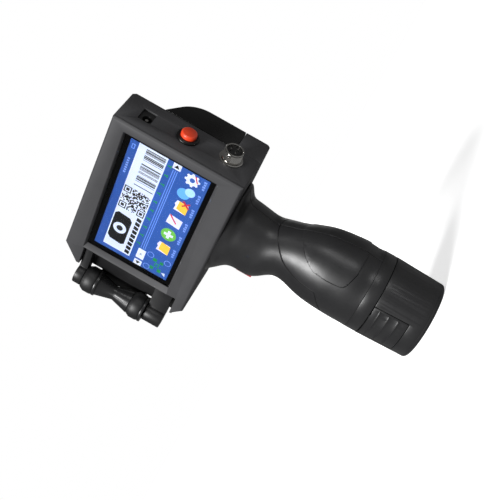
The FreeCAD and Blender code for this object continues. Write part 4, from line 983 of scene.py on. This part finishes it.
@dataclass
class Studio:
    """Pale floor, soft lights and the camera."""

    surround: float = 0.1
    floor_radius: float = 6.0
    floor_inset: float = 4.0
    floor_glow: float = 0.62
    lens: float = 68.4
    place: Point3 = (0.4032, -0.4358, 0.1069)
    right: Point3 = (0.343546, 0.353090, -0.870232)
    down: Point3 = (-0.629424, -0.601146, -0.492391)
    ahead: Point3 = (-0.696995, 0.716904, 0.015721)

    def _floor(self) -> None:
        """A wide pale card: white and softly lit to the camera, grey to every other ray."""
        pick_only()
        bpy.ops.mesh.primitive_circle_add(vertices=96, radius=self.floor_radius,
                                          fill_type="NGON")
        floor = bpy.context.object
        bpy.ops.object.mode_set(mode="EDIT")
        bpy.ops.mesh.select_all(action="SELECT")
        bpy.ops.mesh.inset(thickness=self.floor_inset)
        bpy.ops.object.mode_set(mode="OBJECT")
        settle(floor, "studio_floor")
        card = bpy.data.materials.new("pale_studio_card")
        card.use_nodes = True
        tree = card.node_tree
        tree.nodes.clear()
        seen = add_node(tree, "ShaderNodeLightPath").outputs["Is Camera Ray"]
        fleck = add_node(tree, "ShaderNodeTexNoise", inputs={"Scale": 40.0}).outputs["Fac"]
        white = add_node(tree, "ShaderNodeMix", {"data_type": "RGBA"}, {
            0: fleck, 6: linear("#fafafa"), 7: linear("#ffffff")}).outputs[2]
        matt = add_node(tree, "ShaderNodeBsdfDiffuse", inputs={"Color": linear("#8c8c8c")})
        glow = add_node(tree, "ShaderNodeEmission", inputs={
            "Color": white, "Strength": self.floor_glow})
        pale = add_node(tree, "ShaderNodeAddShader", inputs={
            0: add_node(tree, "ShaderNodeBsdfDiffuse", inputs={"Color": white}).outputs[0],
            1: glow.outputs[0]})
        both = add_node(tree, "ShaderNodeMixShader", inputs={
            0: seen, 1: matt.outputs[0], 2: pale.outputs[0]})
        add_node(tree, "ShaderNodeOutputMaterial", inputs={"Surface": both.outputs[0]})
        floor.data.materials.append(card)

    def _sky(self) -> None:
        """An even surround: white to the camera, dimmed to self.surround for every other ray."""
        world = bpy.data.worlds.new("studio")
        bpy.context.scene.world = world
        world.use_nodes = True
        tree = world.node_tree
        tree.nodes.clear()
        seen = add_node(tree, "ShaderNodeLightPath").outputs["Is Camera Ray"]
        power = add_node(tree, "ShaderNodeMapRange", inputs={
            0: seen, 3: self.surround, 4: 1.0}).outputs[0]
        sky = add_node(tree, "ShaderNodeBackground", inputs={
            "Color": (1.0, 1.0, 1.0, 1.0), "Strength": power})
        add_node(tree, "ShaderNodeOutputWorld", inputs={"Surface": sky.outputs[0]})

    def _sun(self, name: str, towards: Point3, angle: float, power: float) -> None:
        """A soft distant light.

        Args:
            name: its name.
            towards: the direction from the object to the light.
            angle: how wide it looks, in degrees.
            power: its strength.
        """
        lamp = bpy.data.lights.new(name, "SUN")
        lamp.angle = math.radians(angle)
        lamp.energy = power
        stand = bpy.data.objects.new(name, lamp)
        bpy.context.scene.collection.objects.link(stand)
        stand.rotation_euler = Vector(towards).to_track_quat("Z", "Y").to_euler()

    def _light(self, name: str, place: Point3, aim: Point3, size: Point, power: float) -> None:
        """A soft rectangular light.

        Args:
            name: its name.
            place: where it hangs, in metres.
            aim: the point it faces.
            size: its width and height in metres.
            power: its power in watts.
        """
        lamp = bpy.data.lights.new(name, "AREA")
        lamp.shape = "RECTANGLE"
        lamp.size, lamp.size_y = size
        lamp.energy = power
        stand = bpy.data.objects.new(name, lamp)
        bpy.context.scene.collection.objects.link(stand)
        stand.location = place
        stand.rotation_euler = (Vector(aim) - Vector(place)).to_track_quat("-Z", "Y").to_euler()

    def _camera(self) -> None:
        """The camera, turned as the view needs."""
        data = bpy.data.cameras.new("camera")
        data.lens = self.lens
        data.sensor_width = 36.0
        data.clip_start, data.clip_end = 0.01, 50.0
        camera = bpy.data.objects.new("camera", data)
        bpy.context.scene.collection.objects.link(camera)
        turn = Matrix((Vector(self.right), -Vector(self.down), -Vector(self.ahead))).transposed()
        camera.matrix_world = Matrix.Translation(self.place) @ turn.to_4x4()
        bpy.context.scene.camera = camera

    def build(self) -> None:
        """Set up the floor, the lights, the sky and the camera."""
        self._floor()
        self._sky()
        bpy.context.scene.view_settings.view_transform = "Standard"
        self._sun("key", (0.1, -0.86, 0.5), 22.0, 4.6)
        self._light("strip", (1.3, -0.25, 0.3), (0.0, 0.0, 0.08), (0.2, 1.2), 4.0)
        self._light("back", (-0.6, 1.2, 0.8), (0.0, 0.0, 0.15), (1.2, 1.2), 3.0)
        self._camera()


def main() -> None:
    """Build every sub-assembly in order."""
    logging.basicConfig(level=logging.INFO, format="%(name)s: %(message)s")
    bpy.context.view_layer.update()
    Studio().build()
    PlainFinishes().build()
    CaseParts().build()
    Grip().build()
    TouchScreen().build()
    SensorSocket().build()
    PowerButton().build()
    Screws().build()


if __name__ == "__main__":
    main()
